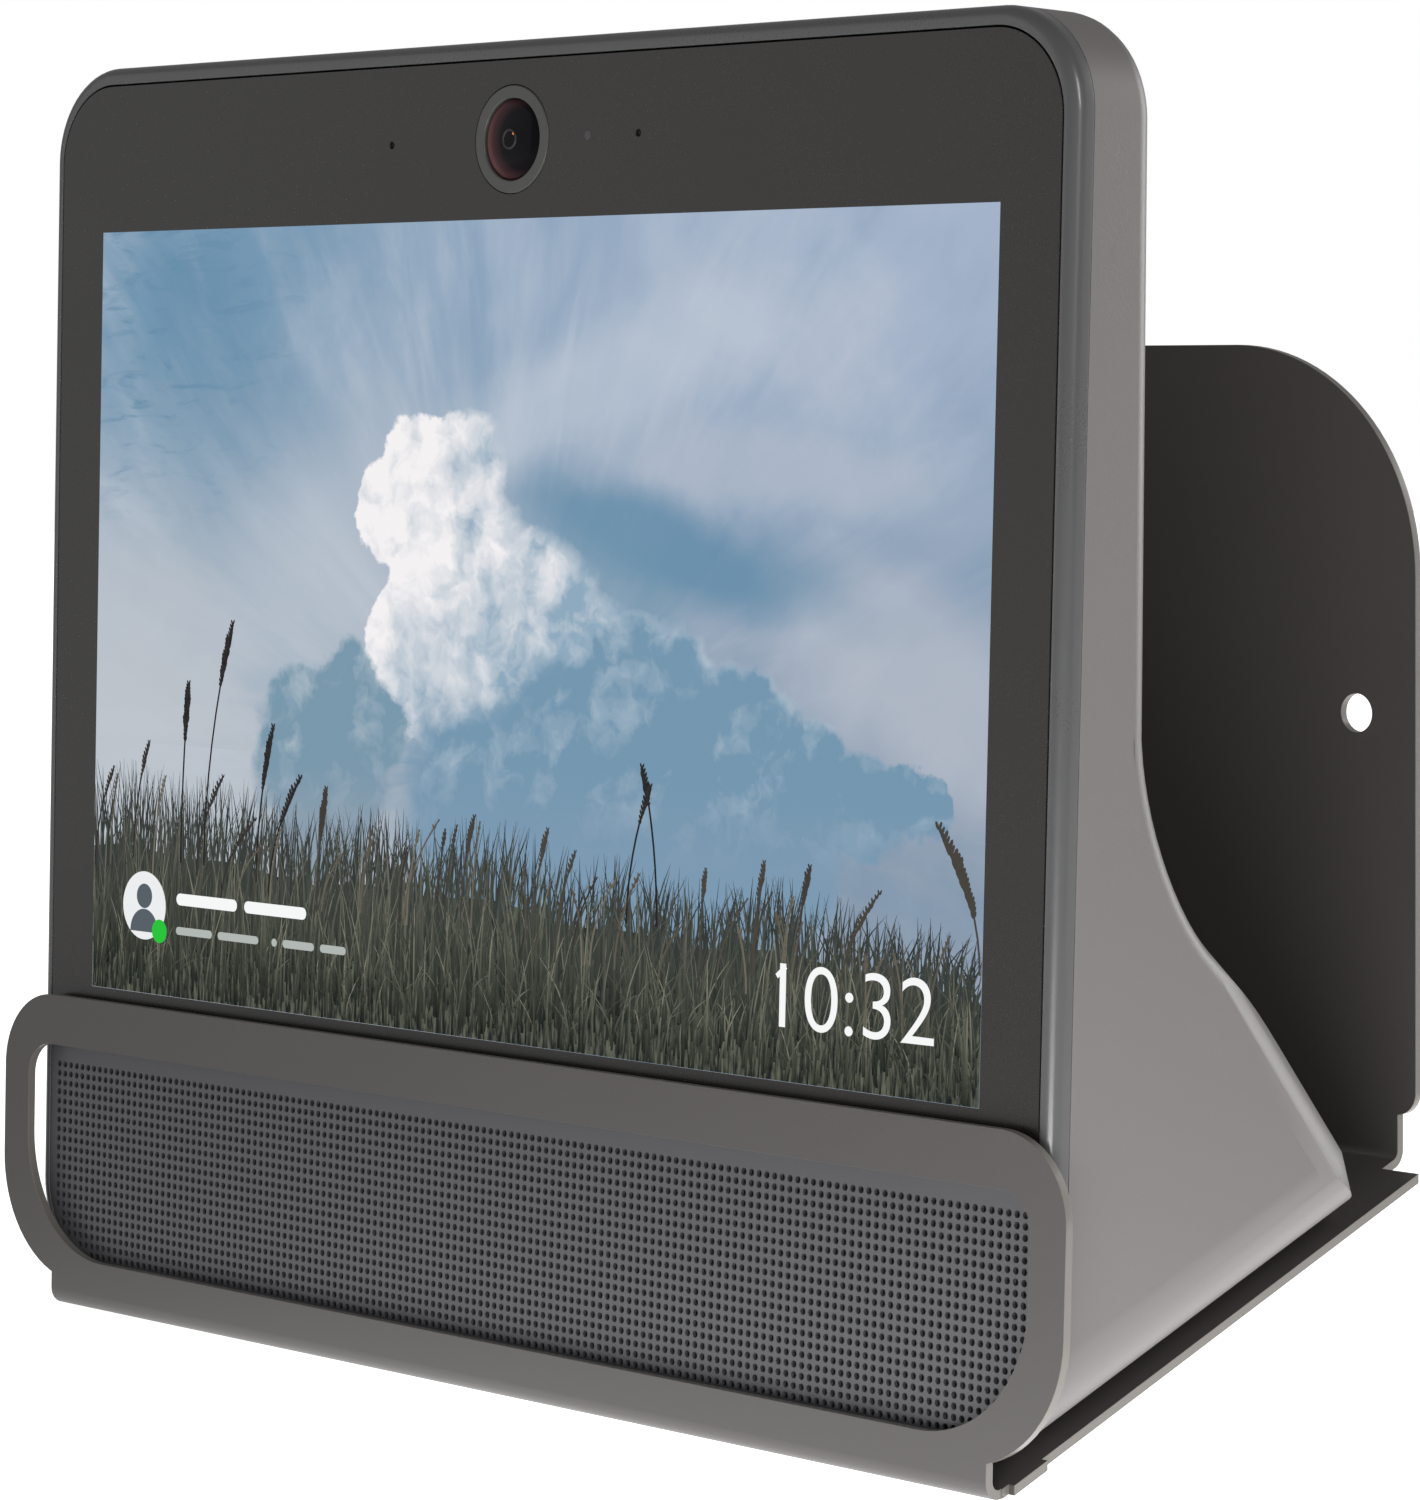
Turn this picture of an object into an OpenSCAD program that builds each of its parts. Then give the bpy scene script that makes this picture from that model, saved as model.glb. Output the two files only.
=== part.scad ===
/* [Display] */
// Width of the screen's lit area
screen_w = 216.96; // [150:0.1:300]
// Height of the screen's lit area
screen_h = 135.6; // [90:0.1:200]
// Half of the display body's width
body_half = 123.2; // [90:0.1:160]
// Height of the body's top edge above the bottom of the lit area
body_top = 165; // [120:0.5:220]
// Radius of the body's corners seen from the front
body_r = 16.5; // [6:0.5:30]
// Width of the satin rim around the glass
rim_w = 2.8; // [1:0.1:6]
// Depth of the satin rim
rim_d = 4; // [2:0.5:8]
// Wall of the rear shell
shell_t = 2.5; // [1.5:0.1:4]
// Lean of the glass from the vertical
lean = 2.6; // [0:0.1:30]
// Height of the camera's centre above the bottom of the lit area
camera_z = 148.6; // [140:0.2:158]
// Distance of each microphone hole from the centre line
mic_x = 30; // [15:0.5:60]

/* [Bracket] */
// Thickness of the bracket's sheet metal
sheet_t = 1.5; // [1:0.1:3]
// Inside radius of the bracket's bends
bend_r = 1.5; // [0.5:0.1:5]
// Slope of the bracket's floor up towards the wall
floor_angle = 19; // [0:0.5:30]
// Half width of the bracket's floor
floor_half = 115; // [90:0.5:150]
// Half width of the bracket's front panel
panel_half = 129.5; // [100:0.5:160]
// Half width of the window in the front panel
window_half = 122.4; // [80:0.2:150]
// Half width of the bracket's back plate
back_half = 111.2; // [90:0.2:150]
// Height of the back plate above its screw holes
back_top = 60.6; // [40:0.2:90]
// Radius of the back plate's top corners
back_r = 38; // [5:1:60]
// Distance between the two wall screws
hole_spacing = 198; // [120:1:210]
// Radius of each wall screw hole
hole_r = 3.2; // [2:0.1:5]

/* [Hidden] */
$fn = 64;
e = 0.01;
// where the bottom of the lit area sits from the wall plane and the screw holes
scr_y = -104.3;
scr_z = -52.8;
// the foot's underside in the display's own frame
foot_angle = floor_angle + lean;
foot_z0 = -54.4;
// height of the two speaker drivers' centres
drv_z = -27.6;
// how far the panel's back face stands ahead of the glass
panel_gap = 2;
// directions and lines of the bracket's section
sl = sin(lean);
cl = cos(lean);
sf = sin(floor_angle);
cf = cos(floor_angle);
floor_p = [-107.2, -109.4];
function world(y, z) = [scr_y + y * cl + z * sl, scr_z - y * sl + z * cl];
function above_floor(p) = (p[1] - floor_p[1]) * cf - (p[0] - floor_p[0]) * sf;
front_y = bend_r - panel_gap;
front_z = (bend_r - above_floor(world(front_y, 0))) / cos(foot_angle);
c1 = world(front_y, front_z);
c2y = -sheet_t - bend_r;
c2 = [c2y, floor_p[1] + (bend_r + (c2y - floor_p[0]) * sf) / cf];
h1 = -90 - lean;
h2 = floor_angle;
h3 = 90;
function arc(c, r, a0, a1) = [for (i = [0:8]) c + r * [cos(a0 + (a1 - a0) * i / 8), sin(a0 + (a1 - a0) * i / 8)]];
bend_o = bend_r + sheet_t;
section = concat([world(-panel_gap - sheet_t, 5)], arc(c1, bend_o, h1 - 90, h2 - 90),
  arc(c2, bend_o, h2 - 90, h3 - 90), [[0, back_top + 5], [-sheet_t, back_top + 5]],
  arc(c2, bend_r, h3 - 90, h2 - 90), arc(c1, bend_r, h2 - 90, h1 - 90), [world(-panel_gap, 5)]);
// side profiles of the rear shell, outside and inside
shell_out = [[4, 165], [13.6, 165], [15.8, 164.4], [17.3, 162.9], [18, 160.6], [20, 104.5], [20.8, 62],
  [21.4, 55], [22.8, 47.5], [25.4, 40.2], [29.4, 33], [34, 27], [38.5, 22.6], [54, 10.2], [66.6, 0],
  [74, -6], [78.5, -10.6], [81.5, -15], [82.8, -18.6], [82.4, -21], [80.5, -22.52], [4.8, -52.5], [4, -52.5]];
shell_in = [[3.9, 162.5], [13, 162.5], [14.4, 161.8], [15.4, 160], [17.5, 104.5], [18.3, 62], [19, 54],
  [20.4, 46.6], [23, 39.2], [27.2, 31.5], [32.2, 25.1], [36.8, 20.6], [52.3, 8.2], [64.9, -1.9],
  [72, -7.7], [76.2, -11.9], [78.8, -15.8], [79.6, -18], [77.5, -20.97], [6, -49.3], [3.9, -49.3]];
shell_c = [0.47, 0.46, 0.45];
dark_c = [0.2, 0.2, 0.2];
board_c = [0.1, 0.3, 0.18];
metal_c = [0.7, 0.7, 0.72];

// the display's own frame: x right, y back from the glass, z up along the glass
module disp() {
  translate([0, scr_y, scr_z]) rotate([-lean, 0, 0]) children();
}
// the foot's frame: y back along the underside, z square to it
module foot() {
  translate([0, 0, foot_z0]) rotate([foot_angle, 0, 0]) children();
}
// stands a flat shape up, facing forward, d deep from y0
module upright(y0, d) {
  translate([0, y0 + d, 0]) rotate([90, 0, 0]) linear_extrude(d) children();
}
// carries a y, z profile from x0 over w
module across(x0, w) {
  translate([x0, 0, 0]) rotate([90, 0, 90]) linear_extrude(w) children();
}
// rectangle centred on x, from z0 to z1, with its own top and bottom corner radii
module plate2d(hw, z0, z1, rt, rb) {
  difference() {
    translate([-hw, z0]) square([2 * hw, z1 - z0]);
    for (s = [-1, 1]) translate([s * (hw - rt), z1 - rt]) corner2d(s, 1, rt);
    for (s = [-1, 1]) translate([s * (hw - rb), z0 + rb]) corner2d(s, -1, rb);
  }
}
// what a rounded corner of radius r takes off a square one
module corner2d(sx, sz, r) {
  difference() {
    translate([sx < 0 ? -r - 1 : 0, sz < 0 ? -r - 1 : 0]) square([r + 1, r + 1]);
    circle(r);
  }
}
module rod_y(x, z, y0, y1, r) {
  translate([x, y1, z]) rotate([90, 0, 0]) cylinder(h = y1 - y0, r = r);
}
module box(x0, x1, y0, y1, z0, z1) {
  translate([x0, y0, z0]) cube([x1 - x0, y1 - y0, z1 - z0]);
}
module shell_form(profile, in) {
  intersection() {
    across(-body_half + in, 2 * (body_half - in)) polygon(profile);
    upright(0, 120) plate2d(body_half - in, -90, body_top - in, body_r - in, 4);
    foot() upright(-60, 200) plate2d(body_half - in, in, 260, 4, body_r - in);
  }
}

module bracket() color([0.35, 0.34, 0.33]) difference() {
  intersection() {
    across(-140, 280) polygon(section);
    union() {
      // front panel with its neck down to the bend
      disp() upright(-20, 19.9) {
        plate2d(panel_half, -53.5, -2, 13.5, 21.5);
        translate([-114.8, -66]) square([229.6, 30]);
      }
      // floor, a little wider at the front
      box(-floor_half, floor_half, -106.9, -5.6, -130, -70);
      box(-floor_half - 1.2, floor_half + 1.2, -105.5, -98, -130, -90);
      box(-114.8, 114.8, -112, -100, -130, -108);
      // rear bend between its reliefs, and the back plate
      box(-107.5, 107.5, -8, 5, -90, -50);
      upright(-4, 8) plate2d(back_half, -66, back_top, back_r, 4);
    }
  }
  disp() upright(-20, 19.5) plate2d(window_half, -49.3, -11, 6, 22);
  for (s = [-1, 1]) rod_y(s * hole_spacing / 2, 0, -10, 5, hole_r);
}

module rim() color([0.29, 0.29, 0.3]) disp() difference() {
  upright(0, rim_d - 0.05) plate2d(body_half, -52.5, body_top, body_r, body_r);
  upright(-1, 10) plate2d(body_half - rim_w + 0.1, -49.8, body_top - rim_w - 0.3, body_r - rim_w + 0.1, 13.6);
}

module cover_glass() color([0.2, 0.19, 0.18]) disp() difference() {
  upright(0, 1.1) plate2d(body_half - rim_w, -6, body_top - rim_w - 0.4, body_r - rim_w, 0.5);
  rod_y(0, camera_z, -1, 3, 8.95);
  for (s = [-1, 1]) rod_y(s * mic_x, camera_z, -1, 3, 0.6);
}

module speaker_grille() color([0.3, 0.3, 0.3]) disp() {
  upright(0.2, 1.2) plate2d(body_half - rim_w, -49.7, -6.3, 0.5, 13.5);
}

module rear_shell() color(shell_c) disp() difference() {
  union() {
    difference() {
      shell_form(shell_out, 0);
      shell_form(shell_in, shell_t);
      // opening under the foot for the base cover
      foot() box(-98, 98, 18, 72, -1, 4);
    }
    intersection() {
      union() {
        for (x = [-115.2, 115.2], z = [12, 75, 138]) rod_y(x, z, 8.3, 20, 3);
        for (s = [-1, 1], z = [12, 75, 138]) translate([s * 119, 14.2, z]) cube([6, 11.6, 2], center = true);
      }
      shell_form(shell_out, 1);
    }
  }
  for (x = [-115.2, 115.2], z = [12, 75, 138]) rod_y(x, z, 5, 15.5, 1);
  // three slots in the top for the buttons
  for (x = [-42, -18, 30]) translate([x, 10, 166]) cube([14.6, 5, 8], center = true);
  // hole for the power plug
  rod_y(-70, -15.6, 60, 90, 4.6);
}

module base_cover() color(dark_c) disp() foot() difference() {
  box(-97.8, 97.8, 18.2, 71.8, 0.1, 2.4);
  for (x = [-92, 92], y = [24, 66]) translate([x, y, -1]) cylinder(h = 5, r = 1.7);
  for (x = [-92, 92], y = [24, 66]) translate([x, y, -1]) cylinder(h = 2.4, r = 3.2);
}

module base_screws() color(metal_c) disp() foot() {
  for (x = [-92, 92], y = [24, 66]) translate([x, y, 0.2]) cylinder(h = 1.1, r = 2.9);
  for (x = [-92, 92], y = [24, 66]) translate([x, y, 1.2]) cylinder(h = 1.8, r = 1.4);
}

module rubber_feet() color([0.08, 0.08, 0.08]) disp() foot() {
  for (y = [9, 74]) translate([-90, y, -1.7]) cube([180, 8, 1.68]);
}

module lcd_panel() color([0.05, 0.06, 0.08]) disp() {
  box(-screen_w / 2 - 3.5, screen_w / 2 + 3.5, 1.15, 3.3, -3.9, screen_h + 3.9);
}

module backlight() color([0.85, 0.85, 0.85]) disp() {
  box(-screen_w / 2 - 4.2, screen_w / 2 + 4.2, 3.4, 6.1, -4.6, screen_h + 4.6);
}

module chassis() color(metal_c) disp() difference() {
  upright(6.6, 1.5) plate2d(117.5, -4, 157.5, 9, 2);
  rod_y(0, camera_z, 5, 10, 7.5);
  for (x = [-115.2, 115.2], z = [12, 75, 138]) rod_y(x, z, 5, 10, 1.2);
  box(-85, -40, 5, 10, 20, 110);
  box(40, 85, 5, 10, 20, 110);
}

module chassis_screws() color(metal_c) disp() {
  for (x = [-115.2, 115.2], z = [12, 75, 138]) rod_y(x, z, 5.3, 6.55, 1.9);
  for (x = [-115.2, 115.2], z = [12, 75, 138]) rod_y(x, z, 6.5, 14, 0.9);
}

module main_board() color(board_c) disp() {
  difference() {
    box(-62, 62, 10, 11.4, 22, 112);
    for (x = [-58, 58], z = [26, 108]) rod_y(x, z, 9, 13, 1.6);
  }
  box(-16, 16, 9.5, 10.1, 24, 28);
}

module shield_can() color(metal_c) disp() difference() {
  box(-32, 32, 11.45, 13.9, 48, 96);
  box(-31.6, 31.6, 11, 13.5, 48.4, 95.6);
}

module heat_spreader() color([0.6, 0.6, 0.62]) disp() {
  box(-72, 72, 14, 15, 40, 122);
  for (i = [0:5]) translate([-60 + i * 24, 15.5, 80]) cube([2, 1.2, 78], center = true);
}

module display_flex() color([0.75, 0.5, 0.15]) disp() {
  across(-12, 24) polygon([[2.2, -4], [2.2, -8.2], [9.4, -8.2], [9.4, 27], [9.1, 27], [9.1, -7.9], [2.5, -7.9],
    [2.5, -4]]);
}

module camera_ring() color([0.25, 0.25, 0.26]) disp() difference() {
  rod_y(0, camera_z, -0.15, 1.6, 8.85);
  rod_y(0, camera_z, -1, 3, 6.75);
}

module camera_lens() color([0.05, 0.04, 0.04]) disp() {
  rod_y(0, camera_z, 0.1, 1.5, 6.6);
}

module camera_barrel() color(dark_c) disp() difference() {
  rod_y(0, camera_z, 1.7, 7.6, 5.6);
  rod_y(0, camera_z, 1, 5, 4.4);
}

module camera_board() color(board_c) disp() {
  box(-14, 14, 8.3, 9.3, 140.5, 156.5);
}

module mic_boards() color(board_c) disp() {
  box(-40, -22, 2.5, 3.4, 144, 153);
  box(15, 40, 2.5, 3.4, 144, 153);
}

module mic_gaskets() color([0.05, 0.05, 0.05]) disp() difference() {
  for (s = [-1, 1]) rod_y(s * mic_x, camera_z, 1.15, 2.45, 2.4);
  for (s = [-1, 1]) rod_y(s * mic_x, camera_z, 1, 3, 0.7);
}

module light_sensor() color([0.1, 0.1, 0.14]) disp() {
  box(16.9, 19.9, 1.3, 2.45, 147.1, 150.1);
}

module button_board() color(board_c) disp() {
  box(-52, 40, 8.4, 14.4, 158.2, 159.3);
  for (x = [-42, -18, 30]) translate([x, 10, 159.2]) cylinder(h = 0.8, r = 1.8);
}

module button(x) {
  translate([x, 10, 161.6]) cube([15.8, 5.8, 1], center = true);
  translate([x, 10, 163.75]) cube([14, 4.4, 3.5], center = true);
}

module volume_up() color(dark_c) disp() button(-18);

module volume_down() color(dark_c) disp() button(-42);

module mute_button() color(dark_c) disp() button(30);

module antenna(x) {
  translate([x, 11, 112]) cube([4, 1, 44], center = true);
}

module antenna_left() color([0.75, 0.55, 0.2]) disp() antenna(-104);

module antenna_right() color([0.75, 0.55, 0.2]) disp() antenna(104);

module speaker_box() color([0.12, 0.12, 0.12]) disp() difference() {
  across(-108, 216) polygon([[4.4, -10], [4.4, -48.2], [6, -48.2], [66, -24.4], [66, -9.5], [58, -4], [40, -4],
    [30, -10]]);
  across(-106, 212) polygon([[6.4, -12], [6.4, -45.9], [64, -23], [64, -10.6], [57.4, -6], [40.8, -6],
    [30.8, -12]]);
  for (s = [-1, 1]) rod_y(s * 60, drv_z, 3, 8, 14.9);
}

module basket(x) {
  difference() {
    union() {
      rod_y(x, drv_z, 2.7, 4.3, 17.2);
      rod_y(x, drv_z, 4, 14.4, 14.6);
    }
    rod_y(x, drv_z, 2, 13, 14);
    rod_y(x, drv_z, 12, 16, 6.1);
    for (a = [0:60:300]) translate([x, 10, drv_z]) rotate([0, a, 0]) translate([14, 0, 0]) cube([6, 4, 6], center = true);
  }
}

module basket_left() color(dark_c) disp() basket(-60);

module basket_right() color(dark_c) disp() basket(60);

module magnet(x) {
  difference() {
    rod_y(x, drv_z, 14.5, 21, 11.5);
    rod_y(x, drv_z, 14, 19.5, 6.1);
  }
  rod_y(x, drv_z, 14.5, 20, 4.2);
}

module magnet_left() color(metal_c) disp() magnet(-60);

module magnet_right() color(metal_c) disp() magnet(60);

module cone(x) {
  translate([x, 0, drv_z]) rotate([-90, 0, 0]) rotate_extrude()
    polygon([[0, 9.6], [4.7, 9.6], [12.3, 4.4], [13.5, 4.1], [13.5, 4.7], [12.6, 5], [5.5, 10], [5.5, 17], [5.1, 17],
      [5.1, 10.2], [0, 10.2]]);
}

module cone_left() color([0.15, 0.15, 0.16]) disp() cone(-60);

module cone_right() color([0.15, 0.15, 0.16]) disp() cone(60);

module power_jack() color([0.06, 0.06, 0.06]) disp() {
  difference() {
    box(-74.5, -65.5, 66.4, 75.6, -19.8, -11.6);
    rod_y(-70, -15.6, 67.6, 80, 2.75);
  }
  rod_y(-70, -15.6, 67.4, 74.4, 1);
}

bracket();
rim();
cover_glass();
speaker_grille();
rear_shell();
base_cover();
rubber_feet();
base_screws();
lcd_panel();
backlight();
chassis();
chassis_screws();
main_board();
shield_can();
heat_spreader();
display_flex();
camera_ring();
camera_lens();
camera_barrel();
camera_board();
mic_boards();
mic_gaskets();
light_sensor();
button_board();
volume_up();
volume_down();
mute_button();
antenna_left();
antenna_right();
speaker_box();
basket_left();
basket_right();
magnet_left();
magnet_right();
cone_left();
cone_right();
power_jack();
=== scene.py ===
# %% [markdown]
# # A smart display standing in a wall bracket
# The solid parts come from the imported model. This notebook keeps them in place and gives the display
# and its bracket their looks: soft-edged covers, real perforations, a lit screen and studio light.

# %% Load the solid model
import bpy
import math
import random
from mathutils import Matrix, Vector


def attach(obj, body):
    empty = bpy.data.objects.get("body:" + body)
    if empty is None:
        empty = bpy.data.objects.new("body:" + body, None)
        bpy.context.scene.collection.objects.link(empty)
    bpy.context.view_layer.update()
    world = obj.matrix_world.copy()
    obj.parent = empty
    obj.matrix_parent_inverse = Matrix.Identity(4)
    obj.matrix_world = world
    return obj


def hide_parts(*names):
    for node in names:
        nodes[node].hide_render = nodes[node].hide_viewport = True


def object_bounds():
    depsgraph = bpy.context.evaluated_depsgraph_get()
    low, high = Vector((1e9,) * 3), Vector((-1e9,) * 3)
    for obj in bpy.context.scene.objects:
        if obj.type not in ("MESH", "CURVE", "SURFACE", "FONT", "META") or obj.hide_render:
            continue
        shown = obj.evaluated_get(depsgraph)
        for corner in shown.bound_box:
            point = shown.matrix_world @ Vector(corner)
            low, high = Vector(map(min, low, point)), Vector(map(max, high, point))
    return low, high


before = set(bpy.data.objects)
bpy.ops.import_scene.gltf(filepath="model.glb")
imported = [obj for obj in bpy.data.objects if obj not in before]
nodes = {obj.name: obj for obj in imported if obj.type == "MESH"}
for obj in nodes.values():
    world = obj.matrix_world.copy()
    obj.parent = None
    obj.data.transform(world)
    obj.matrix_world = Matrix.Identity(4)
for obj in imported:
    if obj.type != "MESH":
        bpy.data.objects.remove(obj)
cad_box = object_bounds()
print("nodes loaded:", len(nodes))

# %% [markdown]
# The display leans back a little and stands on a sloping floor, so most of its pieces are easiest to
# build upright in millimetres, with x to the right, y back from the glass and z up from the bottom of
# the lit area. A last step turns them into place. These numbers repeat the ones in the part's source.

# %% Where the display stands
MM = 0.001
LEAN = math.radians(2.6)
FLOOR = math.radians(19)
SCREEN_FOOT = Vector((0, -104.3, -52.8)) * MM
HALF = 123.2
TOP = 165
CORNER = 16.5
RIM_FOOT = -52.5
GLASS_HALF = HALF - 2.8
SCREEN_W = 216.96
SCREEN_H = 135.6
CAMERA_Z = 148.6
MIC_X = 30
SCREW_X = 99
SCREW_R = 3.2
FOOT_ANGLE = FLOOR + LEAN
FOOT_Z0 = -54.4

# %% [markdown]
# Every piece starts as a primitive. An operator works on all that is selected, so each helper first
# clears the selection, then picks what it needs by place.

# %% Helpers for selecting and placing
def leave_edit():
    bpy.ops.object.mode_set(mode='OBJECT')


def only(ob):
    active = bpy.context.view_layer.objects.active
    if active is not None and active.mode != 'OBJECT':
        leave_edit()
    bpy.ops.object.select_all(action='DESELECT')
    if ob is not None:
        ob.select_set(True)
        bpy.context.view_layer.objects.active = ob


def settle(ob):
    only(ob)
    bpy.ops.object.transform_apply(location=True, rotation=True, scale=True)
    return ob


def named(name):
    ob = bpy.context.object
    ob.name = name
    ob.data.name = name
    return ob


def put(name, data):
    ob = bpy.data.objects.new(name, data)
    bpy.context.collection.objects.link(ob)
    return ob


def join(obs):
    only(obs[0])
    for ob in obs:
        ob.select_set(True)
    bpy.ops.object.join()
    return obs[0]


# %% The two starting shapes, sized in millimetres
def block(name, x, y, z):
    only(None)
    bpy.ops.mesh.primitive_cube_add(size=MM)
    ob = named(name)
    ob.location = [sum(s) / 2 * MM for s in (x, y, z)]
    ob.scale = [s[1] - s[0] for s in (x, y, z)]
    return settle(ob)


def rod(name, x, z, y, r, steps):
    only(None)
    bpy.ops.mesh.primitive_cylinder_add(vertices=steps, radius=r * MM, depth=(y[1] - y[0]) * MM,
                                        location=(x * MM, sum(y) / 2 * MM, z * MM),
                                        rotation=(math.pi / 2, 0, 0))
    return settle(named(name))

# %% [markdown]
# Faces and edges are chosen by a test on where their corners are. The tools that follow pick first and
# then extrude, bevel or turn the normals of what was picked.

# %% Helpers for shaping what was picked
def near(a, b, gap=0.03):
    return abs(a - b) < gap


def pick(ob, kind, test):
    only(ob)
    bpy.ops.object.mode_set(mode='EDIT')
    bpy.ops.mesh.select_mode(type=kind)
    bpy.ops.mesh.select_all(action='DESELECT')
    leave_edit()
    me = ob.data
    items = {'VERT': me.vertices, 'EDGE': me.edges, 'FACE': me.polygons}[kind]
    for item in items:
        points = [item.co] if kind == 'VERT' else [me.vertices[i].co for i in item.vertices]
        item.select = bool(test([p / MM for p in points]))
    bpy.ops.object.mode_set(mode='EDIT')


def pull(ob, kind, test, move):
    pick(ob, kind, test)
    bpy.ops.mesh.extrude_region_move(TRANSFORM_OT_translate={'value': [v * MM for v in move]})
    leave_edit()


def nudge(ob, test, move):
    pick(ob, 'EDGE', test)
    bpy.ops.transform.translate(value=[v * MM for v in move])
    leave_edit()


def face_out(ob):
    pick(ob, 'FACE', lambda p: True)
    bpy.ops.mesh.normals_make_consistent(inside=False)
    leave_edit()


def bevel_picked(width, steps):
    bpy.ops.mesh.bevel(offset=width * MM, offset_type='OFFSET', segments=steps, profile=0.5, affect='EDGES',
                       clamp_overlap=False)
    leave_edit()


def soften(ob, width, steps, test):
    pick(ob, 'EDGE', test)
    bevel_picked(width, steps)


def plate(name, half, y, z, r_top, r_foot, steps=14):
    ob = block(name, (-half, half), y, z)
    for level, r in ((z[1], r_top), (z[0], r_foot)):
        if r:
            soften(ob, r, steps, lambda p: near(p[0].x, p[1].x) and all(near(q.z, level) for q in p))
    return ob

# %% [markdown]
# Modifiers are set up and applied at once, so each step leaves a plain mesh for the next. A Boolean cuts
# one shape with another, and every finished piece ends with smooth shading and weighted normals, which
# keep flat faces flat beside a soft edge.

# %% Helpers that apply a modifier
def apply_modifier(ob, kind, **settings):
    only(ob)
    step = ob.modifiers.new(kind.lower(), kind)
    for key, value in settings.items():
        setattr(step, key, value)
    bpy.ops.object.modifier_apply(modifier=step.name)


def carve(ob, tool, how='DIFFERENCE'):
    apply_modifier(ob, 'BOOLEAN', operation=how, object=tool, solver='EXACT')
    bpy.data.objects.remove(tool, do_unlink=True)


def to_display(ob):
    ob.rotation_euler = (-LEAN, 0, 0)
    ob.location = SCREEN_FOOT
    return settle(ob)


def crisp(ob, width=0, angle=40):
    if width:
        apply_modifier(ob, 'BEVEL', width=width * MM, segments=2, limit_method='ANGLE',
                       angle_limit=math.radians(angle))
    only(ob)
    bpy.ops.object.shade_smooth_by_angle(angle=math.radians(angle))
    apply_modifier(ob, 'WEIGHTED_NORMAL', keep_sharp=True, weight=100)

# %% [markdown]
# The finishes share one effect: the faint mottling and fine grain of a moulded or powder-coated
# surface. It is a node group, built once, with its own colour, grain size and depth in each material.

# %% The group's inputs and outputs
grain = bpy.data.node_groups.new('fine grain', 'ShaderNodeTree')
for name, kind, start in (('Tone', 'Color', (0.5, 0.5, 0.5, 1)), ('Mottle', 'Float', 0.06), ('Patch', 'Float', 30),
                          ('Grain', 'Float', 2500), ('Depth', 'Float', 0.15), ('Rough', 'Float', 0.45)):
    socket = grain.interface.new_socket(name=name, in_out='INPUT', socket_type='NodeSocket' + kind)
    socket.default_value = start
for name, kind in (('Color', 'Color'), ('Roughness', 'Float'), ('Normal', 'Vector')):
    grain.interface.new_socket(name=name, in_out='OUTPUT', socket_type='NodeSocket' + kind)
print('grain group sockets:', len(grain.interface.items_tree))


# %% Helpers for nodes
def wire(tree, a, b):
    tree.links.new(a, b)


def add(tree, kind, **values):
    n = tree.nodes.new(kind)
    for key, value in values.items():
        setattr(n, key, value)
    return n


def preset(node, values):
    for key, value in values.items():
        node.inputs[key].default_value = value
    return node

# %% [markdown]
# Inside the group, a coarse and a fine noise are added and centred on zero. The sum lightens and darkens
# the tone, roughens or polishes it, and the fine noise alone lifts the surface as a bump.

# %% The shared grain group
g = grain
g_in = add(g, 'NodeGroupInput')
g_out = add(g, 'NodeGroupOutput')
g_co = add(g, 'ShaderNodeTexCoord')
g_patch = preset(add(g, 'ShaderNodeTexNoise'), {'Detail': 4})
g_fine = preset(add(g, 'ShaderNodeTexNoise'), {'Detail': 2})
wire(g, g_co.outputs['Object'], g_patch.inputs['Vector'])
wire(g, g_co.outputs['Object'], g_fine.inputs['Vector'])
wire(g, g_in.outputs['Patch'], g_patch.inputs['Scale'])
wire(g, g_in.outputs['Grain'], g_fine.inputs['Scale'])
g_mix = add(g, 'ShaderNodeMath', operation='ADD')
wire(g, g_patch.outputs['Fac'], g_mix.inputs[0])
wire(g, g_fine.outputs['Fac'], g_mix.inputs[1])
g_mid = preset(add(g, 'ShaderNodeMath', operation='SUBTRACT'), {1: 1.0})
wire(g, g_mix.outputs[0], g_mid.inputs[0])
g_amt = preset(add(g, 'ShaderNodeMath', operation='MULTIPLY_ADD'), {2: 1.0})
wire(g, g_mid.outputs[0], g_amt.inputs[0])
wire(g, g_in.outputs['Mottle'], g_amt.inputs[1])
g_col = add(g, 'ShaderNodeVectorMath', operation='SCALE')
wire(g, g_in.outputs['Tone'], g_col.inputs[0])
wire(g, g_amt.outputs[0], g_col.inputs['Scale'])
g_rough = preset(add(g, 'ShaderNodeMath', operation='MULTIPLY_ADD'), {1: 0.12})
wire(g, g_mid.outputs[0], g_rough.inputs[0])
wire(g, g_in.outputs['Rough'], g_rough.inputs[2])
g_bump = preset(add(g, 'ShaderNodeBump'), {'Distance': 0.0001})
wire(g, g_in.outputs['Depth'], g_bump.inputs['Strength'])
wire(g, g_fine.outputs['Fac'], g_bump.inputs['Height'])
wire(g, g_col.outputs[0], g_out.inputs['Color'])
wire(g, g_rough.outputs[0], g_out.inputs['Roughness'])
wire(g, g_bump.outputs[0], g_out.inputs['Normal'])
print('grain group nodes:', len(g.nodes))

# %% [markdown]
# Each finish is a Principled shader fed by that group. Colours are given as screen values from 0 to
# 255 and turned into the linear light that the shader works in.

# %% Helpers for a finish
def linear(r, g_, b):
    out = []
    for c in (r, g_, b):
        c = c / 255
        out.append(c / 12.92 if c <= 0.04045 else ((c + 0.055) / 1.055) ** 2.4)
    return (*out, 1.0)


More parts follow.
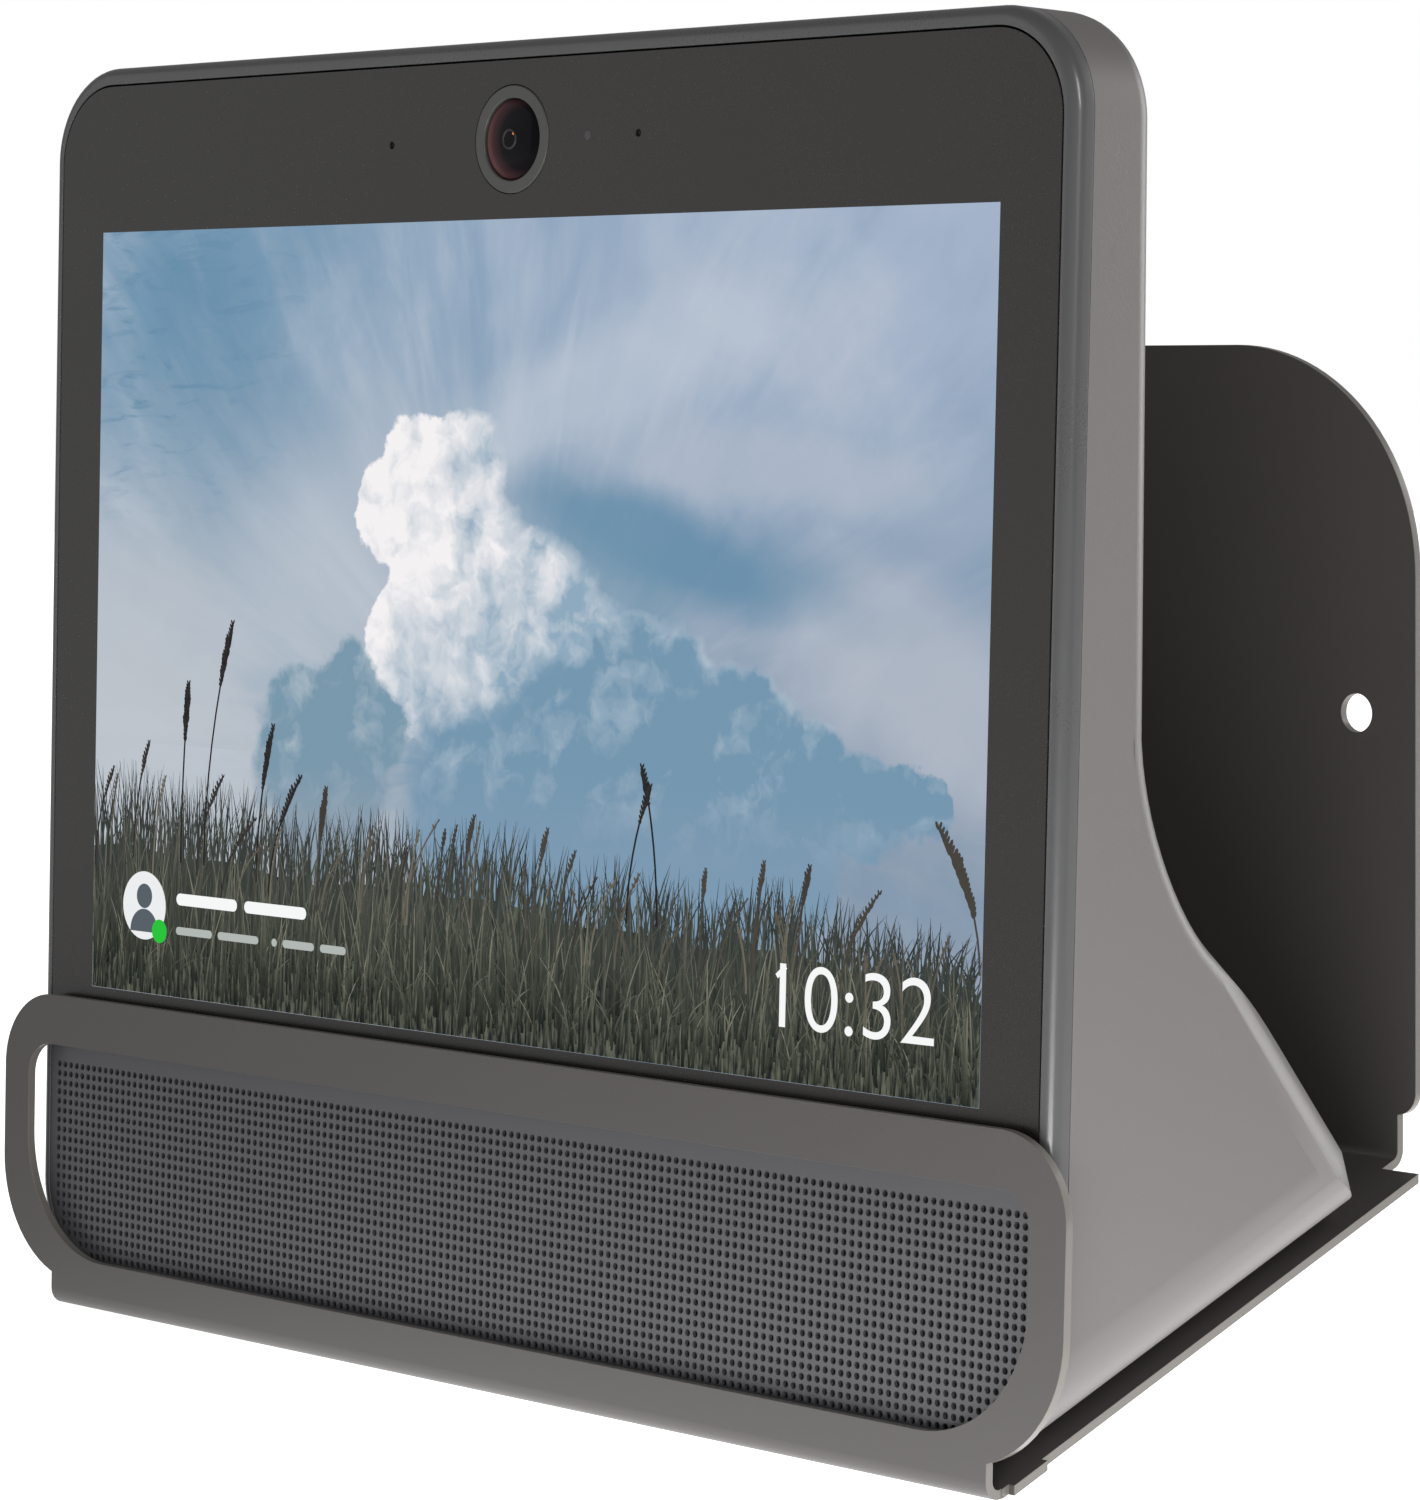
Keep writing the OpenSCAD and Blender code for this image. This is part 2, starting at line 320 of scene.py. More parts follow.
def blank(name):
    m = bpy.data.materials.new(name)
    m.use_nodes = True
    return m, m.node_tree, m.node_tree.nodes['Principled BSDF']


def finish(name, tone, rough=0.45, mottle=0.06, patch=30, grain_size=2500, depth=0.15, metallic=0.0, spec=0.5,
           coat=0.0, coat_rough=0.1):
    m, t, b = blank(name)
    n = preset(add(t, 'ShaderNodeGroup', node_tree=grain),
               {'Tone': linear(*tone), 'Mottle': mottle, 'Patch': patch, 'Grain': grain_size, 'Depth': depth,
                'Rough': rough})
    for out, into in (('Color', 'Base Color'), ('Roughness', 'Roughness'), ('Normal', 'Normal')):
        wire(t, n.outputs[out], b.inputs[into])
    preset(b, {'Metallic': metallic, 'Specular IOR Level': spec, 'Coat Weight': coat,
               'Coat Roughness': coat_rough})
    return m


# %% The plain finishes
POWDER = finish('bracket powder coat', (72, 69, 67), rough=0.42, mottle=0.08, patch=22, grain_size=2200, depth=0.2,
                coat=0.2, coat_rough=0.3)
# Painted highlight: the paler tone on the cut edges stands for the light that they catch.
CUT_EDGE_HIGHLIGHT = finish('bracket cut edge painted highlight', (108, 104, 99), rough=0.35, mottle=0.12, patch=60, grain_size=2200, depth=0.1,
                  coat=0.3, coat_rough=0.2)
SATIN_RIM = finish('satin rim', (78, 78, 79), rough=0.3, mottle=0.04, depth=0.03, coat=0.3, coat_rough=0.15)
PRINTED_GLASS = finish('printed glass', (34, 31, 29), rough=0.28, mottle=0.08, patch=40, depth=0.0, coat=0.15,
                       coat_rough=0.12)
GRILLE_METAL = finish('grille metal', (76, 76, 79), rough=0.4, mottle=0.05, depth=0.1)
# Partly painted shade: this near-black also stands for the shade deep in the grille holes and the microphone
# pinholes.
CLOTH_AND_HOLE_SHADE = finish('grille cloth and painted hole shade', (14, 14, 15), rough=0.9, mottle=0.4, patch=900, grain_size=5000, depth=0.5)
SHELL_PLASTIC = finish('shell plastic', (106, 102, 101), rough=0.42, mottle=0.05, patch=18, grain_size=3000,
                       depth=0.2)
DARK_PLASTIC = finish('dark plastic', (40, 40, 41), rough=0.5, mottle=0.08)
BUTTON_PLASTIC = finish('button plastic', (70, 69, 68), rough=0.38, mottle=0.05)
BLACK_RUBBER = finish('black rubber', (24, 24, 24), rough=0.75, mottle=0.15, depth=0.4)
BRIGHT_STEEL = finish('bright steel', (175, 175, 178), rough=0.28, mottle=0.1, metallic=1.0, depth=0.08)
SPREADER_METAL = finish('spreader metal', (165, 166, 170), rough=0.38, mottle=0.12, metallic=1.0)
BOARD_GREEN = finish('board resist', (26, 78, 48), rough=0.3, mottle=0.25, patch=160, coat=0.4)
FILM_AMBER = finish('amber film', (176, 118, 48), rough=0.25, mottle=0.1, coat=0.5)
PANEL_BLACK = finish('panel black', (20, 22, 26), rough=0.12, mottle=0.1, coat=0.6)
WHITE_FILM = finish('white film', (214, 214, 212), rough=0.5, mottle=0.03)
CONE_PAPER = finish('cone paper', (38, 38, 40), rough=0.85, mottle=0.3, patch=400, depth=0.5)
print('finishes:', len(bpy.data.materials))

# %% [markdown]
# Pieces that keep their solid shape only need a finish: the node's object gets it in its slots. They are
# the hidden inner parts, the screws and the feet, whose plain shapes are already right.

# %% Finishes on the solid model's own pieces
def dress(names, mat):
    for n in names.split():
        ob = nodes[n]
        if not ob.data.materials:
            ob.data.materials.append(mat)
        for s in ob.material_slots:
            s.material = mat


dress('base_cover speaker_box basket_left basket_right camera_barrel power_jack', DARK_PLASTIC)
dress('rubber_feet mic_gaskets', BLACK_RUBBER)
dress('base_screws chassis_screws shield_can magnet_left magnet_right', BRIGHT_STEEL)
dress('chassis heat_spreader', SPREADER_METAL)
dress('main_board camera_board mic_boards button_board', BOARD_GREEN)
dress('display_flex antenna_left antenna_right', FILM_AMBER)
dress('lcd_panel light_sensor', PANEL_BLACK)
dress('backlight', WHITE_FILM)
dress('cone_left cone_right', CONE_PAPER)

# %% [markdown]
# A new piece is given its finish and attached to the body that it rides, and the solid nodes it stands for are
# hidden. A piece that adds detail beside a node stands for nothing.

# %% Finish and attach a piece
def keep(ob, mat, body, slot, *stands_for):
    ob.data.materials.clear()
    ob.data.materials.append(mat)
    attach(ob, body)
    if stands_for:
        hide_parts(*stands_for)
    print(ob.name, len(ob.data.polygons), 'faces')

# %% [markdown]
# ## The bracket
# The real bracket is one laser-cut sheet, folded twice. It is made the same way: a flat floor, its
# front and back edges pulled up, both folds rounded, and the surface thickened like sheet metal.

# %% Fold the sheet
SHEET = 1.5
FLOOR_P = Vector((-107.2, -109.4))
PANEL_Y = -2
PLATE_TOP = 66


def in_world(y, z):
    foot_y, foot_z = -104.3, -52.8
    return Vector((foot_y + y * math.cos(LEAN) + z * math.sin(LEAN),
                   foot_z - y * math.sin(LEAN) + z * math.cos(LEAN)))


def meet(p, d, q, e):
    k = ((q.x - p.x) * e.y - (q.y - p.y) * e.x) / (d.x * e.y - d.y * e.x)
    return p + d * k


up_panel = Vector((math.sin(LEAN), math.cos(LEAN)))
along_floor = Vector((math.cos(FLOOR), math.sin(FLOOR)))
front_fold = meet(in_world(PANEL_Y, 0), up_panel, FLOOR_P, along_floor)
back_fold = meet(Vector((-SHEET, 0)), Vector((0, 1)), FLOOR_P, along_floor)
middle = (front_fold + back_fold) / 2
only(None)
bpy.ops.mesh.primitive_plane_add(size=MM)
sheet = named('bracket_sheet')
sheet.scale = (280, (back_fold - front_fold).length, 1)
sheet.rotation_euler = (FLOOR, 0, 0)
sheet.location = (0, middle.x * MM, middle.y * MM)
settle(sheet)
rise = in_world(PANEL_Y, 5) - front_fold
pull(sheet, 'EDGE', lambda p: all(near(q.y, front_fold.x) for q in p), (0, rise.x, rise.y))
pull(sheet, 'EDGE', lambda p: all(near(q.y, back_fold.x) for q in p), (0, 0, PLATE_TOP - back_fold.y))
for spot, turn in ((front_fold, math.pi / 2 + LEAN + FLOOR), (back_fold, math.pi / 2 - FLOOR)):
    soften(sheet, SHEET * math.tan(turn / 2), 8, lambda p: all(near(q.y, spot.x) and near(q.z, spot.y) for q in p))
apply_modifier(sheet, 'SOLIDIFY', thickness=SHEET * MM, offset=-1, use_even_offset=True)
print('folded sheet', [round(v, 1) for v in (Vector(sheet.dimensions) / MM)])

# %% [markdown]
# The outline is then cut, as the laser cut it: a rounded front panel on a narrow neck, a floor, small
# reliefs beside the back fold, and a back plate with two big corners. Everything outside goes.

# %% Cut the outline, window and screw holes
cuts = [to_display(plate('outline_front', 129.5, (-20, -0.1), (-53.5, -2), 13.5, 21.5, 18)),
        to_display(block('outline_neck', (-114.8, 114.8), (-20, -0.1), (-66, -36))),
        block('outline_floor', (-115, 115), (-106.9, -5.6), (-130, -70)),
        block('outline_shoulders', (-116.2, 116.2), (-105.5, -98), (-130, -90)),
        block('outline_front_fold', (-114.8, 114.8), (-112, -100), (-130, -108)),
        block('outline_back_fold', (-107.5, 107.5), (-8, 5), (-90, -50)),
        plate('outline_back', 111.2, (-4, 4), (-66, 60.6), 38, 4, 28)]
outline = cuts[0]
for extra in cuts[1:]:
    carve(outline, extra, 'UNION')
carve(sheet, outline, 'INTERSECT')
carve(sheet, to_display(plate('window', 122.4, (-20, -0.5), (-49.3, -11), 6, 22, 18)))
for s in (-1, 1):
    carve(sheet, rod('screw_hole', s * SCREW_X, 0, (-10, 5), SCREW_R, 40))
crisp(sheet, 0.22)
keep(sheet, POWDER, 'bracket', 'bracket', 'bracket')

# %% [markdown]
# The sheet's cut edges get a painted highlight: a tone paler than the faces, standing for the light that the edges
# catch, and a slightly shinier finish. Faces that look sideways, and upward ones at the two free ends, get a second
# material.

# %% Cut edges with a painted highlight
sheet.data.materials.append(CUT_EDGE_HIGHLIGHT)
cut_faces = 0
for p in sheet.data.polygons:
    c = p.center / MM
    if abs(p.normal.x) > 0.3 or (p.normal.z > 0.8 and (c.z > -60 or c.y < -107.6)):
        p.material_index = 1
        cut_faces += 1
print('cut edge faces', cut_faces)

# %% [markdown]
# ## The display's covers
# The rim is a satin frame around the flush glass. Its outer front edge is generously rounded, and that
# curve is what catches the light all round the display.

# %% Rim
def on_outline(q):
    side = max(abs(q.x) - HALF + CORNER, 0)
    end = max(q.z - TOP + CORNER, RIM_FOOT + CORNER - q.z, 0)
    flat = abs(q.x) > HALF - 0.1 or q.z > TOP - 0.1 or q.z < RIM_FOOT + 0.1
    return flat or math.hypot(side, end) > CORNER - 0.3


rim = plate('display_rim', HALF, (0, 3.95), (RIM_FOOT, TOP), CORNER, CORNER, 16)
carve(rim, plate('rim_hole', HALF - 2.6, (-3, 9), (-49.8, TOP - 3.1), 13.9, 13.6, 16))
soften(rim, 2.2, 6, lambda p: all(near(q.y, 0) and on_outline(q) for q in p))
to_display(rim)
crisp(rim, 0.15)
keep(rim, SATIN_RIM, 'display', 'rim', 'rim')

# %% [markdown]
# The cover glass is printed dark on its back, so its border reads as a smooth dark sheet. It has a
# round hole for the camera and two pinholes for the microphones.

# %% Cover glass
glass = plate('display_glass', GLASS_HALF, (0, 1.1), (-6, TOP - 3.4), 13.7, 0.5, 16)
carve(glass, rod('camera_hole', 0, CAMERA_Z, (-3, 5), 8.95, 64))
for s in (-1, 1):
    carve(glass, rod('mic_hole', s * MIC_X, CAMERA_Z, (-3, 5), 0.6, 16))
to_display(glass)
crisp(glass, 0.15)
keep(glass, PRINTED_GLASS, 'display', 'cover_glass', 'cover_glass')

# %% [markdown]
# The speaker grille has thousands of punched holes. One small cell is modelled, an eight-sided hole in
# a square, and an Array modifier lays it out in columns and rows. The lower corners of the display are
# round, so cells that would reach past them are deleted, and the plain frame fills in those steps.

# %% Grille cell and its array
PITCH = 1.7
COLUMNS = 140
ROWS = 21
HOLE = 0.6
TOP_ROW_Z = -15
GRILLE_FOOT = -49.7
GRILLE_ROUND = 13.5
edge_x = PITCH * COLUMNS / 2
top_z = TOP_ROW_Z + PITCH / 2
low_z = top_z - PITCH * ROWS


def inset(row):
    below = GRILLE_FOOT + GRILLE_ROUND - (low_z + row * PITCH + 0.4)
    reach = GLASS_HALF - GRILLE_ROUND + math.sqrt(max((GRILLE_ROUND - 0.1) ** 2 - below ** 2, 0))
    return max(0, math.ceil((edge_x - reach) / PITCH)) if below > 0 else 0


def past_corner(p):
    c = sum(p, Vector()) / len(p)
    return (edge_x - abs(c.x)) / PITCH < inset(int((c.z - low_z) / PITCH))


print('grille corner steps', [inset(row) for row in range(ROWS) if inset(row)])

# %% [markdown]
# The cell starts as a ring of eight edges. It is extruded in place and scaled out to half the pitch, the
# four diagonal corners are pushed out to make it square, and the inner ring is extruded back as the wall
# of the hole.

# %% One cell of the grille
only(None)
bpy.ops.mesh.primitive_circle_add(vertices=8, radius=HOLE * MM, fill_type='NOTHING',
                                  rotation=(math.pi / 2, 0, 0))
cell = settle(named('grille_holes'))
bpy.ops.object.mode_set(mode='EDIT')
bpy.ops.mesh.select_mode(type='EDGE')
bpy.ops.mesh.select_all(action='SELECT')
bpy.ops.mesh.extrude_edges_move(TRANSFORM_OT_translate={'value': (0, 0, 0)})
grow = PITCH / 2 / HOLE
bpy.ops.transform.resize(value=(grow, 1, grow))
leave_edit()
pick(cell, 'VERT', lambda p: p[0].xz.length > PITCH / 2 - 0.05 and abs(p[0].x) > 0.2 and abs(p[0].z) > 0.2)
bpy.ops.transform.resize(value=(math.sqrt(2), 1, math.sqrt(2)))
leave_edit()
pick(cell, 'EDGE', lambda p: all(q.xz.length < HOLE + 0.05 for q in p))
bpy.ops.mesh.extrude_edges_move(TRANSFORM_OT_translate={'value': (0, 0.7 * MM, 0)})
leave_edit()
cell.location = (-PITCH * (COLUMNS - 1) / 2 * MM, 0.2 * MM, TOP_ROW_Z * MM)
settle(cell)
print('one cell', len(cell.data.polygons), 'faces')

# %% [markdown]
# Two arrays, one along each row and one down the columns, lay the cell out and merge the shared edges.
# An open sheet has no inside, so its normals are compared with the front and flipped if they look back.

# %% Lay the cells out
for step, count in (((PITCH, 0, 0), COLUMNS), ((0, 0, -PITCH), ROWS)):
    apply_modifier(cell, 'ARRAY', use_relative_offset=False, use_constant_offset=True,
                   constant_offset_displace=[v * MM for v in step], count=count, use_merge_vertices=True,
                   merge_threshold=0.00001)
pick(cell, 'FACE', past_corner)
bpy.ops.mesh.delete(type='FACE')
face_out(cell)
facing = sum(p.normal.y * p.area for p in cell.data.polygons)
if facing > 0:
    bpy.ops.object.mode_set(mode='EDIT')
    bpy.ops.mesh.flip_normals()
    leave_edit()
to_display(cell)
keep(cell, GRILLE_METAL, 'display', 'speaker_grille')

# %% [markdown]
# The frame is a plain plate with the field of holes cut out of it, row by row where the corners step in.
# A near-black cloth lies just behind, partly a real cloth and partly painted shade, so that the holes look deep
# without any space being modelled.

# %% Grille frame and the cloth behind it
border = plate('grille_frame', GLASS_HALF, (0.2, 1.1), (GRILLE_FOOT, -6.3), 0.5, GRILLE_ROUND, 12)
steps = [row for row in range(ROWS) if inset(row)]
for row in steps:
    half = edge_x - inset(row) * PITCH
    low = low_z + row * PITCH
    carve(border, block('grille_step', (-half, half), (-3, 5), (low, low + PITCH + 0.3)))
carve(border, block('grille_field', (-edge_x, edge_x), (-3, 5), (low_z + len(steps) * PITCH, top_z)))
to_display(border)
crisp(border)
keep(border, GRILLE_METAL, 'display', 'speaker_grille', 'speaker_grille')
cloth = plate('grille_cloth', HALF - 3.4, (1.15, 1.5), (-49.2, -6.6), 0.5, 13, 8)
to_display(cloth)
crisp(cloth, 0.1, 35)
keep(cloth, CLOTH_AND_HOLE_SHADE, 'display', 'gasket')

# %% [markdown]
# ## The rear shell
# The shell is slim behind the screen and swells into a wedge foot. It starts as a slab: its lower back
# is pulled out into the foot, the foot's top is tipped into a slope, and the inner corner is rounded.
# The same steps with slightly smaller numbers give the hollow, which is then cut out of it.

# %% A wedge from a slab
TIP = 3.1


def wedge(name, half, front, back, low, top, corner_z, heel_y, heel_z, corner_round, heel_round, top_round):
    ob = block(name, (-half, half), (front, back), (low, top))
    pick(ob, 'FACE', lambda p: True)
    bpy.ops.mesh.bisect(plane_co=(0, 0, corner_z * MM), plane_no=(0, 0, 1))
    leave_edit()
    pull(ob, 'FACE', lambda p: all(near(q.y, back) and q.z < corner_z + 0.1 for q in p), (0, heel_y - back, 0))
    nudge(ob, lambda p: all(near(q.y, heel_y) and near(q.z, corner_z) for q in p), (0, 0, heel_z - corner_z))
    nudge(ob, lambda p: all(near(q.y, back) and near(q.z, top) for q in p), (0, -TIP, 0))
    soften(ob, corner_round, 14, lambda p: all(near(q.y, back) and near(q.z, corner_z) for q in p))
    soften(ob, heel_round, 8, lambda p: all(near(q.y, heel_y) and near(q.z, heel_z) for q in p))
    soften(ob, top_round, 16, lambda p: near(p[0].x, p[1].x) and all(near(q.z, top) for q in p))
    print(name, len(ob.data.polygons), 'faces')
    return ob


SLAB_BACK = 21.3
HEEL_Y = 83.3
shell = wedge('display_shell', HALF, front=4, back=SLAB_BACK, low=-60, top=TOP, corner_z=36.4, heel_y=HEEL_Y,
              heel_z=-12.5, corner_round=21, heel_round=16, top_round=CORNER)

# %% [markdown]
# The soft edge round the back is one bevel along the whole loop where the back meets the sides and the
# top. Edges are found by the angle between their two faces, which is what the eye calls a sharp edge.

# %% Round the back loop
def pick_sharp(ob, test, least=32):
    only(ob)
    faces = {}
    for p in ob.data.polygons:
        for k in p.edge_keys:
            faces.setdefault(k, []).append(p.normal.copy())
    pick(ob, 'EDGE', lambda p: False)
    leave_edit()
    count = 0
    for ed in ob.data.edges:
        pair = faces[ed.key]
        p = [ob.data.vertices[i].co / MM for i in ed.vertices]
        ed.select = len(pair) == 2 and math.degrees(pair[0].angle(pair[1])) > least and test(p)
        count += ed.select
    bpy.ops.object.mode_set(mode='EDIT')
    return count


print('back edges', pick_sharp(shell, lambda p: min(q.y for q in p) > 4.5 and max(q.z for q in p) > -59.9))
bevel_picked(4.5, 6)

# %% [markdown]
# A rounded prism along the foot's slope trims the bottom and its corners. A block with a round bite
# taken out, standing on the foot, rounds each heel corner, and a second one leaning forward lets the
# rounding fade out up the slope.

# %% Tools that stand on the foot
def stand_on_foot(ob):
    ob.rotation_euler = (FOOT_ANGLE, 0, 0)
    ob.location = (0, 0, FOOT_Z0 * MM)
    return settle(ob)


def foot_prism(name, half, lift, r):
    return stand_on_foot(plate(name, half, (-80, 220), (lift, 320), 0, r, 16))


def bite(ob, side, less, r, y, z, tilt, out, top):
    tool = block('corner', (HALF - r, HALF + 3), (0, 40), (-60, top))
    only(None)
    bpy.ops.mesh.primitive_cylinder_add(vertices=96, radius=(r - less) * MM, depth=240 * MM,
                                        location=((HALF - r) * MM, 0, 15 * MM))
    carve(tool, settle(named('post')))
    if side < 0:
        only(tool)
        bpy.ops.transform.mirror(constraint_axis=(True, False, False))
        face_out(settle(tool))
    tool.rotation_euler = (math.radians(tilt), math.radians(side * out), 0)
    tool.location = (0, y * MM, z * MM)
    settle(tool)
    carve(ob, stand_on_foot(tool))


def round_heel(ob, less):
    for side in (-1, 1):
        bite(ob, side, less, r=17, y=73.7, z=0, tilt=0, out=0, top=60)
        bite(ob, side, less, r=13.5, y=68.8, z=29.6, tilt=22, out=1.2, top=42)

# %% [markdown]
# The outside is trimmed first. The hollow goes through the same steps, one wall thickness smaller, and
# is then cut out. The cutting tools are a hair wider than the shell, so that no two faces coincide.

# %% Trim the foot and hollow the shell
WALL = 2.4
HAIR = 0.02
carve(shell, foot_prism('foot_outer', HALF + HAIR, 0, CORNER), 'INTERSECT')
round_heel(shell, 0)
hollow = wedge('hollow', HALF - WALL, front=-1, back=SLAB_BACK - WALL, low=-58, top=TOP - WALL, corner_z=35.2,
               heel_y=HEEL_Y - WALL, heel_z=-13.7, corner_round=22, heel_round=15, top_round=CORNER - WALL)
carve(hollow, foot_prism('foot_inner', HALF - WALL + HAIR, 2, 14.5), 'INTERSECT')
round_heel(hollow, WALL)
carve(shell, hollow)
print('shell size', [round(v, 1) for v in (Vector(shell.dimensions) / MM)])

# %% [markdown]
# The shell needs three rounded slots along its top for the buttons, a round hole for the plug, and an
# opening underneath that the base cover fills.

# %% Openings for the buttons, the plug and the base cover
BUTTON_X = {'volume_down': -42, 'volume_up': -18, 'mute_button': 30}
for x in BUTTON_X.values():
    slot_tool = plate('slot', 7.3, (7.5, 12.5), (158, 172), 0, 0)
    soften(slot_tool, 2.2, 6, lambda p: near(p[0].x, p[1].x) and near(p[0].y, p[1].y))
    slot_tool.location = (x * MM, 0, 0)
    carve(shell, settle(slot_tool))
carve(shell, rod('plug_hole', -70, -15.6, (72, 95), 4.6, 40))
pocket = block('pocket', (-98, 98), (18, 72), (-4, 4))
pocket.rotation_euler = (FOOT_ANGLE, 0, 0)
pocket.location = (0, 0, FOOT_Z0 * MM)
carve(shell, settle(pocket))
to_display(shell)
crisp(shell, angle=32)
keep(shell, SHELL_PLASTIC, 'display', 'shell', 'rear_shell')

# %% [markdown]
# The three buttons stand just proud of the top edge. Each is a soft-cornered cap with a small raised
# mark: plus, minus, and a ring for camera and microphone off. Each rides its own moving body.

# %% Raised marks
BUTTON_Z = 165.5


def raised_marks(node, x):
    if node == 'mute_button':
        only(None)
        bpy.ops.mesh.primitive_torus_add(major_radius=1.1 * MM, minor_radius=0.2 * MM, major_segments=24,
                                         minor_segments=8, location=(x * MM, 10 * MM, 165.45 * MM))
        return [settle(named('ring'))]
    strokes = [(1.3, (9.8, 10.2))] + [(0.2, (8.7, 11.3))] * (node == 'volume_up')
    return [block('stroke', (x - half, x + half), y, (165.4, 165.58)) for half, y in strokes]


# %% Buttons
for node, x in BUTTON_X.items():
    cap = plate('cap_' + node.replace('_button', ''), 7, (7.8, 12.2), (161.2, BUTTON_Z), 0, 0)
    soften(cap, 2, 6, lambda p: near(p[0].x, p[1].x) and near(p[0].y, p[1].y))
    soften(cap, 0.6, 3, lambda p: all(near(q.z, BUTTON_Z) for q in p))
    cap.location = (x * MM, 0, 0)
    join([settle(cap), *raised_marks(node, x)])
    to_display(cap)
    crisp(cap)
    keep(cap, BUTTON_PLASTIC, node + '_body', 'button', node)

# %% [markdown]
# ## The camera
# A slim ring holds a domed lens. The lens is nearly black, with a painted red-brown reflection along one side that
# stands for the light a real lens coating reflects, an inner iris ring, and a small warm glint that is a painted
# highlight.

# %% Camera ring and lens
LENS_R = 6.7
only(None)
bpy.ops.mesh.primitive_cylinder_add(vertices=72, radius=8.85 * MM, depth=1.75 * MM,
                                    rotation=(math.pi / 2, 0, 0), location=(0, 0.725 * MM, CAMERA_Z * MM))
ring = settle(named('camera_ring_trim'))
carve(ring, rod('ring_hole', 0, CAMERA_Z, (-3, 5), 6.75, 72))
soften(ring, 0.25, 3, lambda p: near(p[0].y, -0.15) and near(p[1].y, -0.15))
to_display(ring)
crisp(ring)
RING_TRIM = finish('camera ring trim', (74, 75, 72), rough=0.35, mottle=0.04, depth=0.04)
keep(ring, RING_TRIM, 'display', 'black_plastic', 'camera_ring')

only(None)
bpy.ops.mesh.primitive_uv_sphere_add(segments=48, ring_count=24, radius=LENS_R * MM)
lens = settle(named('camera_dome'))
lens.scale = (1, 0.2, 1)
lens.location = (0, 0.75 * MM, CAMERA_Z * MM)
settle(lens)
to_display(lens)
crisp(lens, angle=60)

# %% [markdown]
# The red-brown crescent is a painted reflection of the coating. The lens's own coordinates are centred on it and
# scaled to its radius, and the distance from a point right of the middle picks a colour from a ramp, dark to
# red-brown.

# %% Lens material
LENS, t, b = blank('lens with painted reflection')
co = add(t, 'ShaderNodeTexCoord')
middle_of_lens = SCREEN_FOOT + Matrix.Rotation(-LEAN, 3, 'X') @ Vector((0, 0, CAMERA_Z)) * MM
centre = preset(add(t, 'ShaderNodeMapping'), {'Location': [-v / (LENS_R * MM) for v in middle_of_lens],
                                              'Scale': [1 / (LENS_R * MM)] * 3})
wire(t, co.outputs['Object'], centre.inputs['Vector'])
parts = add(t, 'ShaderNodeSeparateXYZ')
wire(t, centre.outputs[0], parts.inputs[0])
shift = add(t, 'ShaderNodeCombineXYZ')
pushed = preset(add(t, 'ShaderNodeMath', operation='SUBTRACT'), {1: 0.42})
wire(t, parts.outputs['X'], pushed.inputs[0])
wire(t, pushed.outputs[0], shift.inputs['X'])
wire(t, parts.outputs['Z'], shift.inputs['Y'])
far = add(t, 'ShaderNodeVectorMath', operation='LENGTH')
wire(t, shift.outputs[0], far.inputs[0])
# Painted reflection: this ramp puts the coating's red-brown reflection into the base colour.
crescent = add(t, 'ShaderNodeValToRGB')
stops = crescent.color_ramp.elements
stops[0].color = linear(10, 11, 15)
stops[1].color = linear(128, 84, 84)
stops.new(0.55).color = linear(17, 13, 17)
stops.new(0.76).color = linear(62, 38, 42)
reach = preset(add(t, 'ShaderNodeMath', operation='DIVIDE'), {1: 1.36})
wire(t, far.outputs['Value'], reach.inputs[0])
wire(t, reach.outputs[0], crescent.inputs['Fac'])
wire(t, crescent.outputs['Color'], b.inputs['Base Color'])
preset(b, {'Roughness': 0.12, 'Specular IOR Level': 0.08, 'Coat Weight': 0.02, 'Coat Roughness': 0.03})
keep(lens, LENS, 'display', 'lens', 'camera_lens')

# %% [markdown]
# The iris is a thin torus on the dome, and the glint, a painted highlight, is a tiny ball that glows a little. Both
# are geometry, so they stay in place from every side.

# %% Iris ring and glint
# Painted highlight: the glint glows by emission in place of a reflection.
GLINT = finish('warm glint', (150, 90, 50), rough=0.3, mottle=0.3, patch=1500)
preset(GLINT.node_tree.nodes['Principled BSDF'],
       {'Emission Color': linear(205, 120, 60), 'Emission Strength': 0.8})
IRIS = finish('iris ring', (34, 27, 33), rough=0.3, mottle=0.2, patch=900)
only(None)
bpy.ops.mesh.primitive_torus_add(major_radius=1.5 * MM, minor_radius=0.22 * MM, major_segments=40,
                                 minor_segments=8, rotation=(math.pi / 2, 0, 0),
                                 location=(0, -0.5 * MM, CAMERA_Z * MM))
iris = settle(named('iris_ring'))
to_display(iris)
crisp(iris, angle=60)
keep(iris, IRIS, 'display', 'lens')
only(None)
bpy.ops.mesh.primitive_uv_sphere_add(segments=16, ring_count=10, radius=0.3 * MM,
                                     location=(1.0 * MM, -0.45 * MM, (CAMERA_Z + 0.9) * MM))
glint = settle(named('lens_glint'))
to_display(glint)
crisp(glint, angle=60)
keep(glint, GLINT, 'display', 'lens')

# %% [markdown]
# The microphones and the light sensor are only pinholes to the eye: a near-black liner in each glass hole, which
# paints the shade inside the pinhole, and a small disc over the sensor in a slightly different black.

